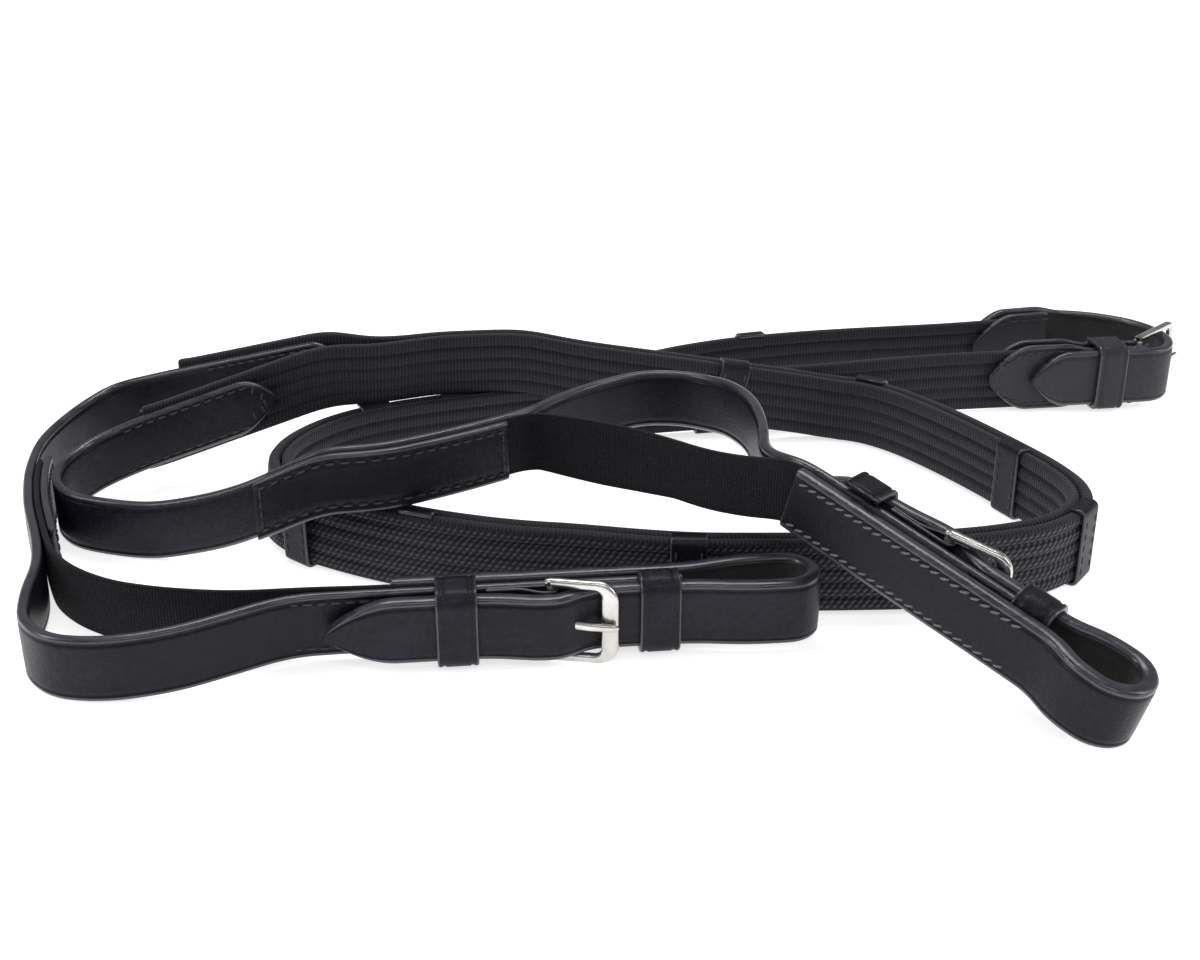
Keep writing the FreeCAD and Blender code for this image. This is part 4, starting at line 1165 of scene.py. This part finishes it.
def build_centre_billet(web):
    """The outer rein's end: a billet on one face of the web, a backing on the other."""
    side, layer = CENTRE_SIDE, CENTRE_LAYER
    run = Path([polar(CENTRE_PIVOT, CENTRE_RUN, -50), polar(CENTRE_PIVOT, CENTRE_RUN, 0)], 0)
    tip_side = -side - layer / 2 - GAP - CENTRE_BILLET / 2
    lap = 26
    points = [tuple(web.beside(web.length - lap, side + 0.5)),
              tuple(web.beside(web.length + 7, side + 0.5)),
              (148, 109), (158.5, 102), (164.5, 91.5), (164.5, 80.5),
              tuple(run.beside(run.length + 6, tip_side)), tuple(run.beside(13, tip_side))]
    path = Path(points, 2.5)
    sweep("centre_billet_strap", "centre_billet", ("bridle_leather", [PAINTED_BRIGHT, FLESH, EDGE]), path,
          (0, path.length), 0, CENTRE_BILLET, *about_middle(half_from(0)), **CREASED, tips=(0, 12),
          edge=1.1)
    half = half_from(web.length - lap)
    sweep("centre_web_backing", "centre_billet_backing", PAINTED_BRIGHT_LOOK, web,
          (web.length - lap, web.length), -side, layer, *about_middle(half), **CREASED)
    stitches("centre_backing_stitches", oval_rows(web, web.length - 16, web.length - 1,
                                                  -side - layer / 2, half, -1))
    return tip_side


def build_centre(web):
    turn = turned_about_z(CENTRE_PIVOT, CENTRE_RUN)
    build_centre_chape(turn)
    place = turned_about_z(CENTRE_PIVOT + Vector((0, 0, CENTRE_MIDDLE)), CENTRE_ANGLE)
    build_buckle("centre_buckle", place, inner=18.8, reach=22.5, bar=1.5, far=3.0)
    build_prong("centre", place, bar=1.5, reach=22.5, rise=2.6, side=-1, wall=1.3)
    tip_side = build_centre_billet(web)
    clear = 0.25 + BAND_WALL / 2
    box = (tip_side - CENTRE_BILLET / 2 - clear, CENTRE_SIDE + CENTRE_LAYER / 2 + clear,
           CENTRE_MIDDLE - CENTRE_HALF - clear, CENTRE_MIDDLE + CENTRE_HALF + clear)
    band("centre_keeper_loop", "centre_keeper", PAINTED_BRIGHT_LOOK, turn, box, 2.2, BAND_WALL, (-16, -6.5))


webs = {name: build_rein(name, rein) for name, rein in REINS.items()}
build_centre(webs["outer"])


# ---- Stage, light and camera ----
def build_stage():
    mesh = bpy.data.meshes.new("floor")
    mesh.from_pydata([(-6, -4, 0), (6, -4, 0), (6, 9, 0), (-6, 9, 0)], [], [(0, 1, 2, 3)])
    floor = new_object("floor", mesh)
    n = Nodes("white_table")
    mesh.materials.append(n.finish((0.92, 0.92, 0.92, 1), 0.6, Specular_IOR_Level=0.1,
                                   Emission_Color=(1, 1, 1, 1), Emission_Strength=0.7))
    world = bpy.data.worlds.new("studio")
    world.use_nodes = True
    background = world.node_tree.nodes["Background"]
    background.inputs[0].default_value = (1, 1, 1, 1)
    # The sky lights the straps softly but looks white, as a studio wall does.
    seen = world.node_tree.nodes.new("ShaderNodeLightPath")
    strength = world.node_tree.nodes.new("ShaderNodeMapRange")
    strength.inputs["To Min"].default_value = 0.28
    strength.inputs["To Max"].default_value = 1.0
    world.node_tree.links.new(seen.outputs["Is Camera Ray"], strength.inputs["Value"])
    world.node_tree.links.new(strength.outputs[0], background.inputs[1])
    bpy.context.scene.world = world
    bpy.context.scene.view_settings.view_transform = "Standard"


def add_light(name, place, aim, power, wide, tall):
    data = bpy.data.lights.new(name, "AREA")
    data.shape = "RECTANGLE"
    data.size, data.size_y = wide, tall
    data.energy = power
    lamp = new_object(name, data)
    lamp.location = place
    lamp.rotation_euler = (Vector(aim) - Vector(place)).to_track_quat("-Z", "Y").to_euler()


build_stage()
add_light("overhead", (0.0, 0.35, 0.95), (0, 0, 0), 5.5, 0.9, 0.35)
add_light("left_box", (-0.9, -0.25, 0.55), (0, 0, 0.02), 3, 0.25, 0.6)
add_light("right_box", (0.95, -0.2, 0.5), (0, 0, 0.02), 2.4, 0.25, 0.6)
add_light("front_box", (0.05, -0.9, 0.9), (0, 0, 0.02), 2.4, 0.8, 0.25)

camera_data = bpy.data.cameras.new("camera")
camera_data.sensor_width = 36
camera_data.lens = 47.16
camera_data.clip_start = 0.01
camera = new_object("camera", camera_data)
camera.location = to_world((-20, -402, 186))
camera.rotation_euler = (math.radians(66), 0, 0)
bpy.context.scene.camera = camera
